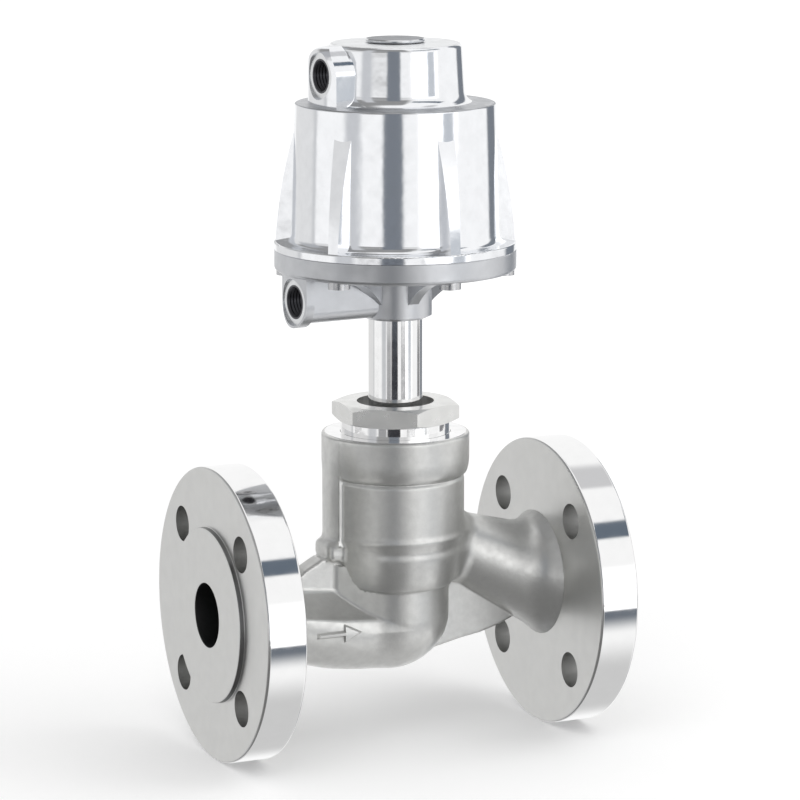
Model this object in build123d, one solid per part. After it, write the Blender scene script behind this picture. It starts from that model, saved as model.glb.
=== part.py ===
from build123d import *
import math
import os

# Pneumatic globe valve, flanged, normally closed: air lifts the piston, springs close it again.
# Lengths are in millimetres. Every piece is drawn about the stem's axis, with the pipe's axis at
# height 0. It is written with the origin at the centre of the inlet's raised face, +X with the
# flow and +Z up the stem.

# Pipe ends
FACE_TO_FACE = 160.0
BORE_DIA = 25.0
FLANGE_DIA = 115.0
FLANGE_RIM = 16.0
RAISED_FACE_DIA = 68.0
RAISED_FACE_HEIGHT = 2.0
BOLT_CIRCLE_DIA = 85.0
BOLT_HOLE_DIA = 14.0
BOLT_COUNT = 4
FLANGE_EDGE = 1.0

# Cast passage
CAST_WALL = 5.0
INLET_DIP = 10.5
INLET_BEND = 60.0
ELBOW_BEND = 15.0
DIP_RUN = 22.0
THROAT_DIA = 42.0
DOME_HEIGHT = -7.4
CHAMBER_DIA = 37.0
BOWL_FOOT_DIA = 44.6
BOWL_FOOT_ROUND = 1.0
BELLY_DIA = 51.6
BELLY_HEIGHT = 13.0
BELLY_ROUND = 15.0
NECK_DIA = 54.0
NECK_FOOT = 27.0
NECK_ROUND = 8.0
OUTLET_START = 14.0
OUTLET_HEIGHT = 23.8
OUTLET_START_DIA = 18.0
OUTLET_END_DIA = 24.6
OUTLET_NECK_DIA = 22.0
OUTLET_NECK_END_DIA = 41.6
OUTLET_MEET = 6.0

# Cast collar, rib and webs
COLLAR_TOP = 66.5
COLLAR_DEPTH = 16.4
COLLAR_DIA = 58.0
COLLAR_ROUND = 5.0
COLLAR_FOOT_ROUND = 3.0
COLLAR_EDGE_ROUND = 1.2
RIB_WIDTH = 16.0
RIB_FOOT_REACH = 2.5
RIB_FOOT_HEIGHT = 8.0
INLET_WEB = 9.5
INLET_WEB_TOP = 14.0
INLET_WEB_HEEL = 13.5
INLET_WEB_STEP = 9.5
OUTLET_WEB = 6.0
OUTLET_WEB_FOOT = 18.4
OUTLET_WEB_KNEE = 26.0
OUTLET_WEB_TIP = 9.0
CAST_ROUND = 2.0
INLET_ROOT_DIA = 39.0
INLET_ROOT_LENGTH = 4.0
INLET_ROOT_DEPTH = 4.0
OUTLET_ROOT_DIA = 47.0
OUTLET_ROOT_LENGTH = 7.0
OUTLET_ROOT_DEPTH = 10.0

# Seat and closing plug
SEAT_HEIGHT = 9.0
SEAT_FLANGE = 3.0
SEAT_FLANGE_DIA = 35.0
SEAT_THREAD_DIA = 31.0
SEAT_THREAD = 6.0
SEAT_BORE_DIA = 24.0
SEAT_LIP = 1.5
PLUG_DIA = 31.0
PLUG_HEIGHT = 12.0
PLUG_SEAL_DIA = 29.0
PLUG_SEAL_THICK = 2.5
RETAINER_DIA = 22.0
RETAINER_THICK = 3.0
PLUG_NUT_WIDTH = 13.0
PLUG_NUT_HEIGHT = 5.0
SMALL_NUT_CHAMFER = 0.8
PIN_DIA = 2.0
PIN_SHORT = 1.0

# Bonnet: gasket, flanged tube and nut
GASKET_DEPTH = 20.5
GASKET_THICK = 1.5
NUT_THREAD_DIA = 43.0
BONNET_FLANGE = 4.0
BONNET_BARREL_DIA = 29.6
NUT_RECESS = 4.2
NUT_SHANK_SHOWN = 4.3
NUT_HEX = 7.4
NUT_WIDTH = 44.0
NUT_CHAMFER = 1.3
NUT_TURN = 25.0
THREAD_CHAMFER = 0.8
EDGE_CHAMFER = 0.6
TUBE_DIA = 21.3
TUBE_BORE_DIA = 18.0
TUBE_SHOWN = 33.1
TUBE_SOCKET = 12.7

# Stem and its packing
STEM_DIA = 10.0
STEM_THREAD_DIA = 8.0
WIPER_DIA = 14.0
WIPER_THICK = 2.0
BUSH_LENGTH = 3.5
BASE_RING_THICK = 2.0
V_RING_COUNT = 4
V_RING_PITCH = 2.4
V_RING_RISE = 1.6
WASHER_THICK = 1.5
PACKING_SPRING_WIRE = 1.8
PACKING_SPRING_LENGTH = 20.0
PACKING_SPRING_TURNS = 4
GLAND_LENGTH = 12.0

# Actuator base
BASE_DIA = 94.0
BASE_RIM = 8.2
BASE_FLOOR = 5.0
BASE_FOOT_ROUND = 1.5
BASE_EDGE_ROUND = 0.5
HUB_DIA = 28.6
HUB_HEIGHT = 19.0
HUB_CHAMFER = 2.3
SPIGOT_HEIGHT = 3.0
SPIGOT_WALL = 4.0
BASE_WEB = 4.6
BASE_WEB_REACH = 39.0
BASE_WEB_FOOT = 4.4
BASE_WEB_HOLLOW = 3.5
ROD_SEAL_DIA = 15.0
ROD_SEAL_THICK = 3.0
STEM_BUSH_DIA = 13.0
STEM_BUSH_LENGTH = 6.0
O_RING_WIRE = 2.0
O_RING_LAND = 0.5

# Air ports, G 1/4
PORT_TAP_DIA = 11.8
PORT_TAP_DEPTH = 10.0
PORT_SPOT_DIA = 18.0
PORT_TURN = 185.0
LOWER_PORT_REACH = 45.5
LOWER_PORT_SPOT = 44.2
LOWER_PORT_DROP = 9.8
LOWER_PORT_DIA = 20.0
LOWER_PORT_INNER = 41.0
AIR_ARM_WIDTH = 16.0
AIR_ARM_DROP = 8.0
AIR_ARM_ROUND = 4.4
AIR_ARM_OVERLAP = 2.0
AIR_RISE_SPOT = 31.2
AIR_HOLE_DIA = 4.0
UPPER_PORT_REACH = 34.0
UPPER_PORT_SPOT = 32.5
UPPER_PORT_RISE = 11.5
UPPER_PORT_WIDTH = 22.9
UPPER_PORT_ROUND = 5.5
UPPER_PORT_BREAK = 1.2

# Actuator housing
HOUSING_HEIGHT = 56.5
HOUSING_FLANGE = 3.0
HOUSING_EDGE_ROUND = 0.6
HOUSING_FOOT_DIA = 80.8
HOUSING_TOP_DIA = 77.6
HOUSING_ROUND = 0.8
HOUSING_ROOF = 7.0
CYLINDER_DIA = 70.0
DRUM_HEIGHT = 23.05
DRUM_FOOT_DIA = 54.2
DRUM_TOP_DIA = 51.4
DRUM_BORE_DIA = 43.0
DRUM_ROOF = 6.05
DRUM_ROUND = 2.0
DRUM_FOOT_ROUND = 4.7
FOOT_ROUND = 3.0
RIB_COUNT = 6
RIB_TIP = 4.2
RIB_ROOT = 8.4
RIB_SUNK = 2.0
RIB_HEIGHT = 47.5
RIB_TOP_STEP = 0.4
RIB_CURVE_IN = 2.6
SCREW_CIRCLE_DIA = 84.0
SCREW_DIA = 5.0
SCREW_HEAD_DIA = 8.5
SCREW_HEAD = 5.0
SCREW_HEAD_SHOWN = 2.4
SCREW_REACH = 14.0
SCREW_SOCKET = 4.0
SCREW_SOCKET_DEPTH = 2.5
SCREW_END_GAP = 1.0

# Piston, springs and position indicator
TRAVEL = 10.0
PISTON_THICK = 10.0
PISTON_LIFT = 1.0
PISTON_BOSS_DIA = 26.0
PISTON_WEB = 3.0
SEAL_GROOVE = 2.6
GROOVE_LAND = 1.2
SEAL_THICK = 3.0
GUIDE_THICK = 2.5
OUTER_SPRING_DIA = 56.0
OUTER_SPRING_WIRE = 4.5
OUTER_SPRING_TURNS = 4
INNER_SPRING_DIA = 35.0
INNER_SPRING_WIRE = 4.0
INNER_SPRING_TURNS = 6
PISTON_NUT_WIDTH = 13.0
PISTON_NUT_HEIGHT = 8.0
INDICATOR_DIA = 8.0
STOP_DIA = 12.0
INDICATOR_CAP_DIA = 23.0
INDICATOR_CAP = 1.3
INDICATOR_EDGE = 0.4
INDICATOR_GAP = 0.3

# Clearances, and how far roots and cuts run into their neighbours or out into the open
THREAD_GAP = 0.1
RUN_GAP = 0.05
LOOSE_GAP = 0.3
OVERLAP = 1.0
CUT_REACH = 10.0

# Heights above the pipe's axis and distances along it, from the sizes above
END = FACE_TO_FACE / 2
FLANGE_THICK = FLANGE_RIM + RAISED_FACE_HEIGHT
NECK_END = END - FLANGE_THICK
OUTLET_END = NECK_END + OUTLET_MEET
CHAMBER_FLOOR = SEAT_HEIGHT - SEAT_FLANGE
COLLAR_BASE = COLLAR_TOP - COLLAR_DEPTH
GASKET_SEAT = COLLAR_TOP - GASKET_DEPTH
BONNET_BASE = GASKET_SEAT + GASKET_THICK
NUT_BASE = BONNET_BASE + BONNET_FLANGE
HEX_BASE = COLLAR_TOP + NUT_SHANK_SHOWN
HEX_TOP = HEX_BASE + NUT_HEX
BARREL_TOP = HEX_TOP - NUT_RECESS
HUB_BASE = HEX_TOP + TUBE_SHOWN
TUBE_TOP = HUB_BASE + TUBE_SOCKET
PLATE_BASE = HUB_BASE + HUB_HEIGHT
SPLIT = PLATE_BASE + BASE_RIM
FLOOR_TOP = PLATE_BASE + BASE_FLOOR
SPIGOT_TOP = SPLIT + SPIGOT_HEIGHT
HOUSING_TOP = SPLIT + HOUSING_HEIGHT
CYLINDER_TOP = HOUSING_TOP - HOUSING_ROOF
DRUM_TOP = HOUSING_TOP + DRUM_HEIGHT
DRUM_CEILING = DRUM_TOP - DRUM_ROOF
PISTON_BASE = SPIGOT_TOP + PISTON_LIFT
PISTON_TOP = PISTON_BASE + PISTON_THICK
SPRING_BASE = PISTON_BASE + PISTON_WEB
WIPER_BASE = BONNET_BASE
BUSH_BASE = WIPER_BASE + WIPER_THICK
PACKING_BASE = BUSH_BASE + BUSH_LENGTH
V_RING_BASE = PACKING_BASE + BASE_RING_THICK
WASHER_BASE = V_RING_BASE + V_RING_COUNT * V_RING_PITCH
PACKING_SPRING_BASE = WASHER_BASE + V_RING_RISE + WASHER_THICK
GLAND_BASE = PACKING_SPRING_BASE + PACKING_SPRING_LENGTH
LOWER_PORT = PLATE_BASE - LOWER_PORT_DROP
UPPER_PORT = HOUSING_TOP + UPPER_PORT_RISE
SPIGOT_RING_BASE = SPIGOT_TOP - O_RING_WIRE - O_RING_LAND
INDICATOR_RING_BASE = DRUM_CEILING + (DRUM_ROOF - O_RING_WIRE) / 2
SEAL_BASE = PISTON_BASE + GROOVE_LAND
GUIDE_BASE = PISTON_TOP - GROOVE_LAND - GUIDE_THICK
STEM_TOP = PISTON_TOP + PISTON_NUT_HEIGHT
NUT_TOP = PISTON_TOP + 2 * PISTON_NUT_HEIGHT
PLUG_BASE = SEAT_HEIGHT + PLUG_SEAL_THICK
RETAINER_BASE = SEAT_HEIGHT - RETAINER_THICK


def turned(*points, rounds=None):
    """Solid turned about the stem's axis from (radius, height) points."""
    corners = [(r, 0, z) for r, z in points]
    radii = [0.0] * len(corners)
    for index, radius in (rounds or {}).items():
        radii[index] = radius
    outline = FilletPolyline(*corners, radius=radii, close=True)
    return revolve(make_face(outline), Axis.Z)


def ring(outer, inner, base, height, edge=0.0):
    """Round ring or washer given by its two diameters, with an optional outer edge chamfer."""
    r = outer / 2
    points = [(inner / 2, base), (r - edge, base), (r, base + edge), (r, base + height - edge)]
    points += [(r - edge, base + height), (inner / 2, base + height)]
    if not edge:
        points = [points[0], (r, base), (r, base + height), points[-1]]
    return turned(*points)


def rod(diameter, base, height):
    """Plain round rod on the stem's axis."""
    return Pos(0, 0, base + height / 2) * Cylinder(diameter / 2, height)


def hexagon(width, base, height, edge):
    """Hexagon across flats, with both ends turned down at the corners."""
    corner = width / 2 / math.cos(math.pi / 6)
    flat = width / 2
    prism = extrude(Pos(0, 0, base) * RegularPolygon(corner, 6), height)
    turn = turned(
        (0, base),
        (flat, base),
        (corner + RUN_GAP, base + edge),
        (corner + RUN_GAP, base + height - edge),
        (flat, base + height),
        (0, base + height),
    )
    return prism & turn


def along_pipe(*points):
    """Solid turned about the pipe's axis from (distance, radius) points."""
    outline = Polyline(*[(x, 0, r) for x, r in points], close=True)
    return revolve(make_face(outline), Axis.X)


def plate(thickness, *points):
    """Upright plate in the plane of pipe and stem, from (distance, height) points."""
    outline = Polyline(*[(x, 0, z) for x, z in points], close=True)
    return extrude(make_face(outline), thickness / 2, both=True)


def at_port(shape):
    """Turn a shape drawn towards +X to the direction of the air ports."""
    return Rot(0, 0, PORT_TURN) * shape


def ring_of(count, shape):
    """Copies of a shape spaced evenly about the stem, halfway between the port and its sides."""
    step = 360 / count
    return [Rot(0, 0, PORT_TURN + step * (index + 0.5)) * shape for index in range(count)]


def spring(mean_dia, wire, base, length, turns):
    """Coil spring with its wire inside the given length."""
    rise = length - wire
    coil = Helix(pitch=rise / turns, height=rise, radius=mean_dia / 2)
    start = Plane(origin=coil @ 0, z_dir=coil % 0)
    return Pos(0, 0, base + wire / 2) * sweep(start * Circle(wire / 2), path=coil, is_frenet=True)


def flange(side, root_dia, root_length, root_depth):
    """Flange disc with its raised face and the root of its neck, inlet (-1) or outlet (1)."""
    edge = FLANGE_EDGE
    r = FLANGE_DIA / 2
    face = END - RAISED_FACE_HEIGHT
    points = [
        (NECK_END - root_length, 0),
        (NECK_END - root_length, root_dia / 2 - root_depth),
        (NECK_END, root_dia / 2),
        (NECK_END, r - edge),
        (NECK_END + edge, r),
        (face - edge, r),
        (face, r - edge),
        (face, RAISED_FACE_DIA / 2),
        (END, RAISED_FACE_DIA / 2),
        (END, 0),
    ]
    return along_pipe(*[(side * x, radius) for x, radius in points])


def bolt_holes(side):
    """Bolt holes of one flange, astride the vertical."""
    middle = side * (END - FLANGE_THICK / 2)
    hole = Rot(0, 90, 0) * Cylinder(BOLT_HOLE_DIA / 2, 2 * FLANGE_THICK)
    step = 360 / BOLT_COUNT
    holes = []
    for index in range(BOLT_COUNT):
        turn = Rot(step * (index + 0.5), 0, 0)
        holes.append(Pos(middle, 0, 0) * turn * Pos(0, 0, BOLT_CIRCLE_DIA / 2) * hole)
    return holes


def dip_line(start, *end):
    """Middle line of the inlet passage: level in the flange, down to the dip and along it."""
    corners = [(start, 0, 0), (-NECK_END + CAST_ROUND, 0, 0), (-DIP_RUN, 0, -INLET_DIP), *end]
    radii = [INLET_BEND, INLET_BEND / 2, ELBOW_BEND][: len(corners) - 2]
    return FilletPolyline(*corners, radius=radii)


def inlet_neck():
    """Outside of the inlet neck, rounded off at the elbow."""
    radius = BORE_DIA / 2 + CAST_WALL
    elbow = (-CAST_WALL, 0, -INLET_DIP)
    line = dip_line(-NECK_END - FLANGE_RIM / 2, elbow)
    neck = sweep(Plane(origin=line @ 0, z_dir=line % 0) * Circle(radius), path=line)
    return neck + Pos(*elbow) * Sphere(radius)


def inlet_passage():
    """Passage from the inlet face down, along the dip and up under the seat."""
    line = dip_line(-END - 1, (0, 0, -INLET_DIP), (0, 0, CHAMBER_FLOOR))
    return sweep(Plane(origin=line @ 0, z_dir=line % 0) * Circle(BORE_DIA / 2), path=line)


def outlet_cone(start_dia, end_dia):
    """Cone along the outlet's line, from the chamber down to the pipe's axis."""
    start = Vector(OUTLET_START, 0, OUTLET_HEIGHT)
    line = Vector(OUTLET_END, 0, 0) - start
    along = Plane(origin=start + line / 2, z_dir=line)
    return along * Cone(start_dia / 2, end_dia / 2, line.length)


def outlet_neck():
    """Outside of the outlet neck, widening towards its flange."""
    return outlet_cone(OUTLET_NECK_DIA, OUTLET_NECK_END_DIA)


def outlet_passage():
    """Passage from the chamber above the seat to the outlet face."""
    start = (NECK_END + OUTLET_END) / 2
    length = END + OVERLAP - start
    level = Pos(start + length / 2, 0, 0) * Rot(0, 90, 0) * Cylinder(BORE_DIA / 2, length)
    return outlet_cone(OUTLET_START_DIA, OUTLET_END_DIA) + level


def column():
    """Upright cast form: elbow dome, throat, bowl, neck and threaded collar."""
    throat = THROAT_DIA / 2
    bowl = turned(
        (0, DOME_HEIGHT),
        (throat, DOME_HEIGHT),
        (throat, CHAMBER_FLOOR),
        (BOWL_FOOT_DIA / 2, CHAMBER_FLOOR),
        (BELLY_DIA / 2, BELLY_HEIGHT),
        (NECK_DIA / 2, NECK_FOOT),
        (NECK_DIA / 2, COLLAR_BASE),
        (COLLAR_DIA / 2, COLLAR_BASE + COLLAR_ROUND),
        (COLLAR_DIA / 2, COLLAR_TOP),
        (0, COLLAR_TOP),
        rounds={
            3: BOWL_FOOT_ROUND,
            4: BELLY_ROUND,
            5: NECK_ROUND,
            6: COLLAR_FOOT_ROUND,
            7: COLLAR_ROUND,
            8: COLLAR_EDGE_ROUND,
        },
    )
    return bowl + Pos(0, 0, DOME_HEIGHT) * Sphere(throat)


def rib():
    """Upright rib on the inlet side, flush with the collar, with a rounded foot."""
    collar = COLLAR_DIA / 2
    foot = NECK_FOOT - RIB_FOOT_HEIGHT
    inner = BOWL_FOOT_DIA / 2 - CAST_WALL
    reach = collar + RIB_FOOT_REACH
    top = COLLAR_TOP - COLLAR_ROUND
    bar = plate(RIB_WIDTH, (-inner, NECK_FOOT), (-END, NECK_FOOT), (-END, top), (-inner, top))
    bar = bar & rod(COLLAR_DIA, 0, COLLAR_TOP)
    pad = plate(RIB_WIDTH, (-inner, foot), (-reach, foot), (-reach, NECK_FOOT), (-inner, NECK_FOOT))
    pad = fillet(pad.edges().filter_by(Axis.Y).sort_by(Axis.X)[:2], CAST_ROUND)
    return bar, pad


def webs():
    """Cast webs in the plane of pipe and stem: above the inlet neck, below the outlet neck."""
    throat = THROAT_DIA / 2
    collar = COLLAR_DIA / 2
    foot = NECK_FOOT - RIB_FOOT_HEIGHT
    reach = collar + RIB_FOOT_REACH
    inlet = plate(
        INLET_WEB,
        (-NECK_END - OVERLAP, 0),
        (-reach - INLET_WEB_HEEL, 0),
        (-reach - INLET_WEB_STEP, INLET_WEB_TOP),
        (-reach, foot),
        (-throat + CAST_WALL, foot),
        (-throat + CAST_WALL, 0),
    )
    outlet = plate(
        OUTLET_WEB,
        (CAST_WALL, -throat),
        (throat - CAST_WALL, -throat - CAST_ROUND),
        (NECK_END - OUTLET_WEB_KNEE, -OUTLET_WEB_FOOT),
        (NECK_END - OUTLET_WEB_TIP, -BORE_DIA / 2),
        (NECK_END - OUTLET_WEB_TIP, 0),
        (throat - CAST_ROUND, BELLY_HEIGHT),
        (CAST_WALL, 0),
    )
    return inlet, outlet


def valve_body():
    """One casting: flanges, necks, throat, bowl, collar, rib and webs, bored and threaded."""
    bar, pad = rib()
    cast = column() + inlet_neck() + outlet_neck()
    inlet_end = flange(-1, INLET_ROOT_DIA, INLET_ROOT_LENGTH, INLET_ROOT_DEPTH)
    outlet_end = flange(1, OUTLET_ROOT_DIA, OUTLET_ROOT_LENGTH, OUTLET_ROOT_DEPTH)
    cast = cast + [bar, pad, *webs(), inlet_end, outlet_end]
    nut_bore = rod(NUT_THREAD_DIA + 2 * THREAD_GAP, GASKET_SEAT, COLLAR_TOP)
    chamber = rod(CHAMBER_DIA, CHAMBER_FLOOR, GASKET_SEAT)
    thread_base = CHAMBER_FLOOR - SEAT_THREAD
    seat_bore = rod(SEAT_THREAD_DIA + 2 * THREAD_GAP, thread_base, SEAT_THREAD + OVERLAP)
    cuts = [inlet_passage(), outlet_passage(), nut_bore, chamber, seat_bore]
    return cast - cuts - bolt_holes(-1) - bolt_holes(1)


def seat_ring():
    """Seat screwed into the throat, with a raised lip for the plug seal."""
    lip = SEAT_BORE_DIA / 2
    floor = CHAMBER_FLOOR
    return turned(
        (lip, floor - SEAT_THREAD),
        (SEAT_THREAD_DIA / 2, floor - SEAT_THREAD),
        (SEAT_THREAD_DIA / 2, floor),
        (SEAT_FLANGE_DIA / 2, floor),
        (SEAT_FLANGE_DIA / 2, SEAT_HEIGHT - SEAT_LIP),
        (lip + 2 * SEAT_LIP, SEAT_HEIGHT - SEAT_LIP),
        (lip + SEAT_LIP, SEAT_HEIGHT),
        (lip, SEAT_HEIGHT),
    )


def body_gasket():
    """Flat gasket under the bonnet flange."""
    return ring(NUT_THREAD_DIA - LOOSE_GAP, CHAMBER_DIA + LOOSE_GAP, GASKET_SEAT, GASKET_THICK)


def bonnet_tube():
    """Flanged barrel and tube that carry the actuator and hold the packing."""
    barrel = BONNET_BARREL_DIA / 2
    tube = TUBE_DIA / 2
    solid = turned(
        (0, BONNET_BASE),
        (NUT_THREAD_DIA / 2 - LOOSE_GAP, BONNET_BASE),
        (NUT_THREAD_DIA / 2 - LOOSE_GAP, NUT_BASE),
        (barrel, NUT_BASE),
        (barrel, BARREL_TOP - EDGE_CHAMFER),
        (barrel - EDGE_CHAMFER, BARREL_TOP),
        (tube, BARREL_TOP),
        (tube, TUBE_TOP),
        (0, TUBE_TOP),
    )
    packing_bore = rod(TUBE_BORE_DIA, PACKING_BASE, TUBE_TOP)
    bush_bore = rod(WIPER_DIA, BONNET_BASE - OVERLAP, PACKING_BASE - BONNET_BASE + OVERLAP)
    return solid - [packing_bore, bush_bore]


def bonnet_nut():
    """Hexagon nut with a threaded shank that clamps the bonnet flange."""
    inner = BONNET_BARREL_DIA + 2 * LOOSE_GAP
    shank = ring(NUT_THREAD_DIA, inner, NUT_BASE, HEX_BASE - NUT_BASE + OVERLAP, THREAD_CHAMFER)
    head = Rot(0, 0, NUT_TURN) * hexagon(NUT_WIDTH, HEX_BASE, NUT_HEX, NUT_CHAMFER)
    bore = rod(inner, NUT_BASE - OVERLAP, HEX_TOP)
    return shank + head - bore


def wiper_ring():
    """Wiper at the stem's entry to the bonnet."""
    return ring(WIPER_DIA, STEM_DIA + 2 * RUN_GAP, WIPER_BASE, WIPER_THICK)


def guide_bush():
    """Plain bush that guides the stem above the wiper."""
    return ring(WIPER_DIA, STEM_DIA + 2 * RUN_GAP, BUSH_BASE, BUSH_LENGTH)


def chevron(base, thick, rise):
    """Ring of the packing with a V-shaped section that points up."""
    inner = STEM_DIA / 2 + RUN_GAP
    outer = TUBE_BORE_DIA / 2
    middle = (inner + outer) / 2
    return turned(
        (inner, base),
        (middle, base + rise),
        (outer, base),
        (outer, base + thick),
        (middle, base + thick + rise),
        (inner, base + thick),
    )


def packing_base_ring():
    """Ring under the packing, flat below and V-shaped above."""
    inner = STEM_DIA / 2 + RUN_GAP
    outer = TUBE_BORE_DIA / 2
    return turned(
        (inner, PACKING_BASE),
        (outer, PACKING_BASE),
        (outer, V_RING_BASE),
        ((inner + outer) / 2, V_RING_BASE + V_RING_RISE),
        (inner, V_RING_BASE),
    )


def packing_v_rings():
    """Stack of V-rings round the stem."""
    rings = []
    for index in range(V_RING_COUNT):
        rings.append(chevron(V_RING_BASE + V_RING_PITCH * index, V_RING_PITCH, V_RING_RISE))
    return rings


def packing_washer():
    """Washer between the V-rings and their spring, hollowed to the top V-ring."""
    inner = STEM_DIA / 2 + RUN_GAP
    outer = TUBE_BORE_DIA / 2
    return turned(
        (inner, WASHER_BASE),
        ((inner + outer) / 2, WASHER_BASE + V_RING_RISE),
        (outer, WASHER_BASE),
        (outer, PACKING_SPRING_BASE),
        (inner, PACKING_SPRING_BASE),
    )


def packing_spring():
    """Spring that keeps the packing tight."""
    mean = (STEM_DIA + TUBE_BORE_DIA) / 2
    length = PACKING_SPRING_LENGTH
    return spring(mean, PACKING_SPRING_WIRE, PACKING_SPRING_BASE, length, PACKING_SPRING_TURNS)


def gland_bush():
    """Bush that closes the packing chamber and guides the stem."""
    return ring(TUBE_BORE_DIA, STEM_DIA + 2 * RUN_GAP, GLAND_BASE, GLAND_LENGTH, EDGE_CHAMFER)


def base_web():
    """Web under the base from the hub to the rim, with a hollow lower edge, drawn towards +X."""
    inner = HUB_DIA / 2 - CAST_ROUND
    low = HUB_BASE + BASE_WEB_FOOT
    start = Vector(inner, 0, low)
    end = Vector(BASE_WEB_REACH, 0, PLATE_BASE - OVERLAP)
    chord = end - start
    hollow = Vector(-chord.Z, 0, chord.X).normalized() * BASE_WEB_HOLLOW
    edge = ThreePointArc(start, (start + end) / 2 + hollow, end)
    top = PLATE_BASE + OVERLAP
    rest = Polyline(end, (BASE_WEB_REACH, 0, top), (inner, 0, top), start)
    return extrude(make_face(edge + rest), BASE_WEB / 2, both=True)


def lower_port_boss():
    """Lug of the lower port under the base, drawn towards +X, and the wall from it to the hub."""
    length = LOWER_PORT_REACH - LOWER_PORT_INNER
    middle = LOWER_PORT_INNER + length / 2
    top = PLATE_BASE + OVERLAP
    boss = Pos(middle, 0, LOWER_PORT) * Rot(0, 90, 0) * Cylinder(LOWER_PORT_DIA / 2, length)
    neck_height = top - LOWER_PORT
    boss = boss + Pos(middle, 0, top - neck_height / 2) * Box(length, LOWER_PORT_DIA, neck_height)
    boss = boss & rod(2 * LOWER_PORT_REACH, HUB_BASE - LOWER_PORT_DIA, 2 * LOWER_PORT_DIA + HUB_HEIGHT)
    arm_length = LOWER_PORT_INNER + AIR_ARM_OVERLAP
    arm_height = top - LOWER_PORT + AIR_ARM_DROP
    arm = Pos(arm_length / 2, 0, top - arm_height / 2) * Box(arm_length, AIR_ARM_WIDTH, arm_height)
    arm = fillet(arm.edges().filter_by(Axis.X).sort_by(Axis.Z)[:2], AIR_ARM_ROUND)
    return boss, arm


def port_drill(spot, depth, height):
    """Tapped hole and spot face of a port, drawn towards +X."""
    turn = Rot(0, 90, 0)
    length = depth + CUT_REACH
    hole = Pos(spot - depth + length / 2, 0, height) * turn * Cylinder(PORT_TAP_DIA / 2, length)
    face = Pos(spot + CUT_REACH / 2, 0, height) * turn * Cylinder(PORT_SPOT_DIA / 2, CUT_REACH)
    return hole, face


def actuator_base():
    """Base plate of the actuator with its hub, webs, port and spigot."""
    rim = BASE_DIA / 2
    hub = HUB_DIA / 2
    spigot = CYLINDER_DIA / 2 - RUN_GAP
    solid = turned(
        (0, HUB_BASE),
        (hub - HUB_CHAMFER, HUB_BASE),
        (hub, HUB_BASE + HUB_CHAMFER / 2),
        (hub, PLATE_BASE),
        (rim, PLATE_BASE),
        (rim, SPLIT),
        (spigot, SPLIT),
        (spigot, SPIGOT_TOP),
        (spigot - SPIGOT_WALL, SPIGOT_TOP),
        (spigot - SPIGOT_WALL, FLOOR_TOP),
        (0, FLOOR_TOP),
        rounds={3: CAST_ROUND, 4: BASE_FOOT_ROUND, 5: BASE_EDGE_ROUND},
    )
    solid = solid + ring_of(RIB_COUNT, base_web()) + [at_port(part) for part in lower_port_boss()]
    bush_seat = TUBE_TOP + ROD_SEAL_THICK
    bores = [
        rod(TUBE_DIA + 2 * THREAD_GAP, HUB_BASE - OVERLAP, TUBE_SOCKET + OVERLAP),
        rod(ROD_SEAL_DIA, TUBE_TOP, ROD_SEAL_THICK),
        rod(STEM_BUSH_DIA, bush_seat, FLOOR_TOP - bush_seat + OVERLAP),
    ]
    hole, face = port_drill(LOWER_PORT_SPOT, PORT_TAP_DEPTH, LOWER_PORT)
    inward = Pos((AIR_RISE_SPOT + LOWER_PORT_SPOT) / 2, 0, LOWER_PORT) * Rot(0, 90, 0)
    cross = inward * Cylinder(AIR_HOLE_DIA / 2, LOWER_PORT_SPOT - AIR_RISE_SPOT)
    rise = Pos(AIR_RISE_SPOT, 0, 0) * rod(AIR_HOLE_DIA, LOWER_PORT, FLOOR_TOP - LOWER_PORT + OVERLAP)
    outer = CYLINDER_DIA + OVERLAP
    groove = ring(outer, CYLINDER_DIA - 2 * O_RING_WIRE, SPIGOT_RING_BASE, O_RING_WIRE)
    air = [at_port(part) for part in (hole, face, cross, rise)]
    screws = ring_of(RIB_COUNT, screw_hole(PLATE_BASE - SCREW_HEAD_SHOWN - OVERLAP, SPLIT + OVERLAP))
    return solid - bores - air - screws - groove


def screw_hole(low, high):
    """Clearance hole and counterbore for one base screw, drawn at +X."""
    x = SCREW_CIRCLE_DIA / 2
    head_top = PLATE_BASE - SCREW_HEAD_SHOWN + SCREW_HEAD
    shank = Pos(x, 0, 0) * rod(SCREW_DIA + 2 * LOOSE_GAP, low, high - low)
    head = Pos(x, 0, 0) * rod(SCREW_HEAD_DIA + 2 * LOOSE_GAP, low, head_top - low)
    return shank + head


def base_screws():
    """Socket-head screws that hold the housing to the base from below."""
    x = SCREW_CIRCLE_DIA / 2
    low = PLATE_BASE - SCREW_HEAD_SHOWN
    head = ring(SCREW_HEAD_DIA, SCREW_SOCKET, low, SCREW_SOCKET_DEPTH)
    top = rod(SCREW_HEAD_DIA, low + SCREW_SOCKET_DEPTH, SCREW_HEAD - SCREW_SOCKET_DEPTH)
    shank = rod(SCREW_DIA, low + SCREW_HEAD, SPLIT + SCREW_REACH - low - SCREW_HEAD)
    return ring_of(RIB_COUNT, Pos(x, 0, 0) * (head + top + shank))


def rod_seal():
    """Lip seal round the stem below the cylinder."""
    return ring(ROD_SEAL_DIA, STEM_DIA + 2 * RUN_GAP, TUBE_TOP, ROD_SEAL_THICK)


def stem_bush():
    """Bush that guides the stem in the base."""
    base = TUBE_TOP + ROD_SEAL_THICK
    return ring(STEM_BUSH_DIA, STEM_DIA + 2 * RUN_GAP, base, STEM_BUSH_LENGTH)


def base_o_ring():
    """O-ring between spigot and cylinder."""
    outer = CYLINDER_DIA - 2 * RUN_GAP
    return ring(outer, CYLINDER_DIA - 2 * O_RING_WIRE, SPIGOT_RING_BASE, O_RING_WIRE)


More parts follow.
